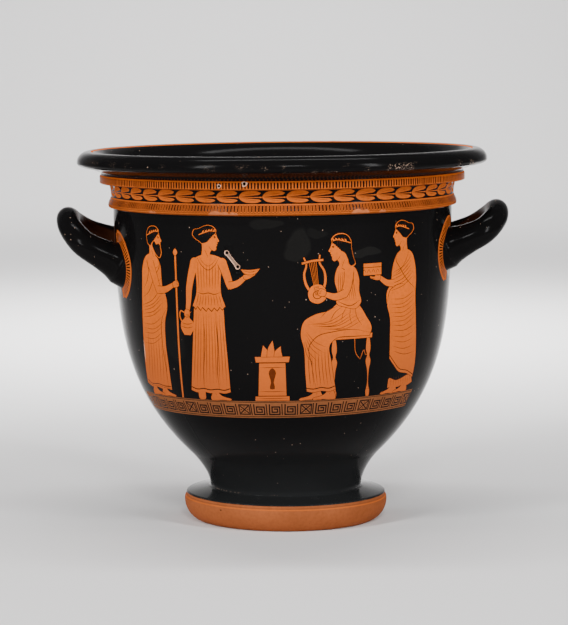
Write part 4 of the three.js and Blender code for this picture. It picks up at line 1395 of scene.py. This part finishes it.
# Floor with a curved rise behind, the lights and the camera, in metres
stage = {
    "floor colour": (0.80, 0.785, 0.78), "floor width": 18.0, "floor front": -9.0, "floor back": 5.2,
    "rise": 1.6, "rise top": 6.0, "air colour": (0.93, 0.95, 1.0), "air strength": 0.16,
    "camera distance": 3.0, "camera height": 0.530, "azimuth": -1.2, "lens": 156.2, "tilt": 5.735,
    "shift x": -0.0028, "shift y": 0.0,
    "lights": {                               # place, aim, size, watts and spread in degrees
        "keyLeft": ((-2.2, -2.2, 1.6), (0, 0, 0.24), (0.5, 1.4), 96, 180),
        "keyRight": ((2.3, -2.0, 1.5), (0, 0, 0.24), (0.4, 1.4), 78, 180),
        "topSoft": ((0.0, 0.2, 2.3), (0, 0, 0.2), (1.8, 0.25), 34, 180),
        "frontFill": ((0.3, -3.8, 2.6), (0, 0, 0.22), (0.8, 0.6), 76, 180),
        "backWash": ((0.0, 1.8, 2.7), (0, 1.9, 0.0), (1.4, 1.0), 38, 60),
        "backHigh": ((0.0, 4.4, 3.6), (0, 4.7, 0.0), (4.0, 3.0), 80, 100),
        "riseWash": ((0.0, 4.6, 2.6), (0, 6.8, 0.6), (3.6, 0.8), 26, 110),
    },
}


def sweep():
    half, back, rise = stage["floor width"] / 2, stage["floor back"], stage["rise"]
    line = [(stage["floor front"], 0.0), (-0.6, 0.0), (0.6, 0.0), (back, 0.0)]
    turns = np.linspace(0, math.pi / 2, 24)[1:]
    line += [(back + rise * math.sin(a), rise * (1 - math.cos(a))) for a in turns]
    line += [(back + rise, stage["rise top"])]
    places = [(x, y, z) for y, z in line for x in (-half, half)]
    quads = [(2 * i, 2 * i + 1, 2 * i + 3, 2 * i + 2) for i in range(len(line) - 1)]
    data = bpy.data.meshes.new("floorSweep")
    data.from_pydata(places, [], quads)
    for face in data.polygons:
        face.use_smooth = True
    data.materials.append(Graph("paleFloor").finish(stage["floor colour"], 0.9, 0.2))
    floor = bpy.data.objects.new("floorSweep", data)
    bpy.context.scene.collection.objects.link(floor)
    floor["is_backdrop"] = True


def softLight(name, spot, aim, size, watts, spread):
    light = bpy.data.lights.new(name, "AREA")
    light.shape = "RECTANGLE"
    light.spread = math.radians(spread)
    light.size, light.size_y = size
    light.energy = watts
    thing = bpy.data.objects.new(name, light)
    thing.location = spot
    thing.rotation_euler = (Vector(aim) - Vector(spot)).to_track_quat("-Z", "Y").to_euler()
    bpy.context.scene.collection.objects.link(thing)


sweep()
for name, facts in stage["lights"].items():
    softLight(name, *facts)

world = bpy.data.worlds.new("studioAir")
world.use_nodes = True
air = world.node_tree.nodes["Background"]
air.inputs["Color"].default_value = (*stage["air colour"], 1)
air.inputs["Strength"].default_value = stage["air strength"]
bpy.context.scene.world = world

lens = bpy.data.cameras.new("photoLens")
lens.lens, lens.sensor_width, lens.sensor_fit = stage["lens"], 36, "AUTO"
lens.shift_x, lens.shift_y = stage["shift x"], stage["shift y"]
lens.clip_start, lens.clip_end = 0.1, 60
camera = bpy.data.objects.new("photoView", lens)
turn = math.radians(stage["azimuth"])
camera.location = (stage["camera distance"] * math.sin(turn), -stage["camera distance"] * math.cos(turn),
                   stage["camera height"])
camera.rotation_euler = (math.radians(90 - stage["tilt"]), 0, turn)
bpy.context.scene.collection.objects.link(camera)
bpy.context.scene.camera = camera
print("stage set")

{"cad": [list(v) for v in cadBox], "visual": [list(v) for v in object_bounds()]}
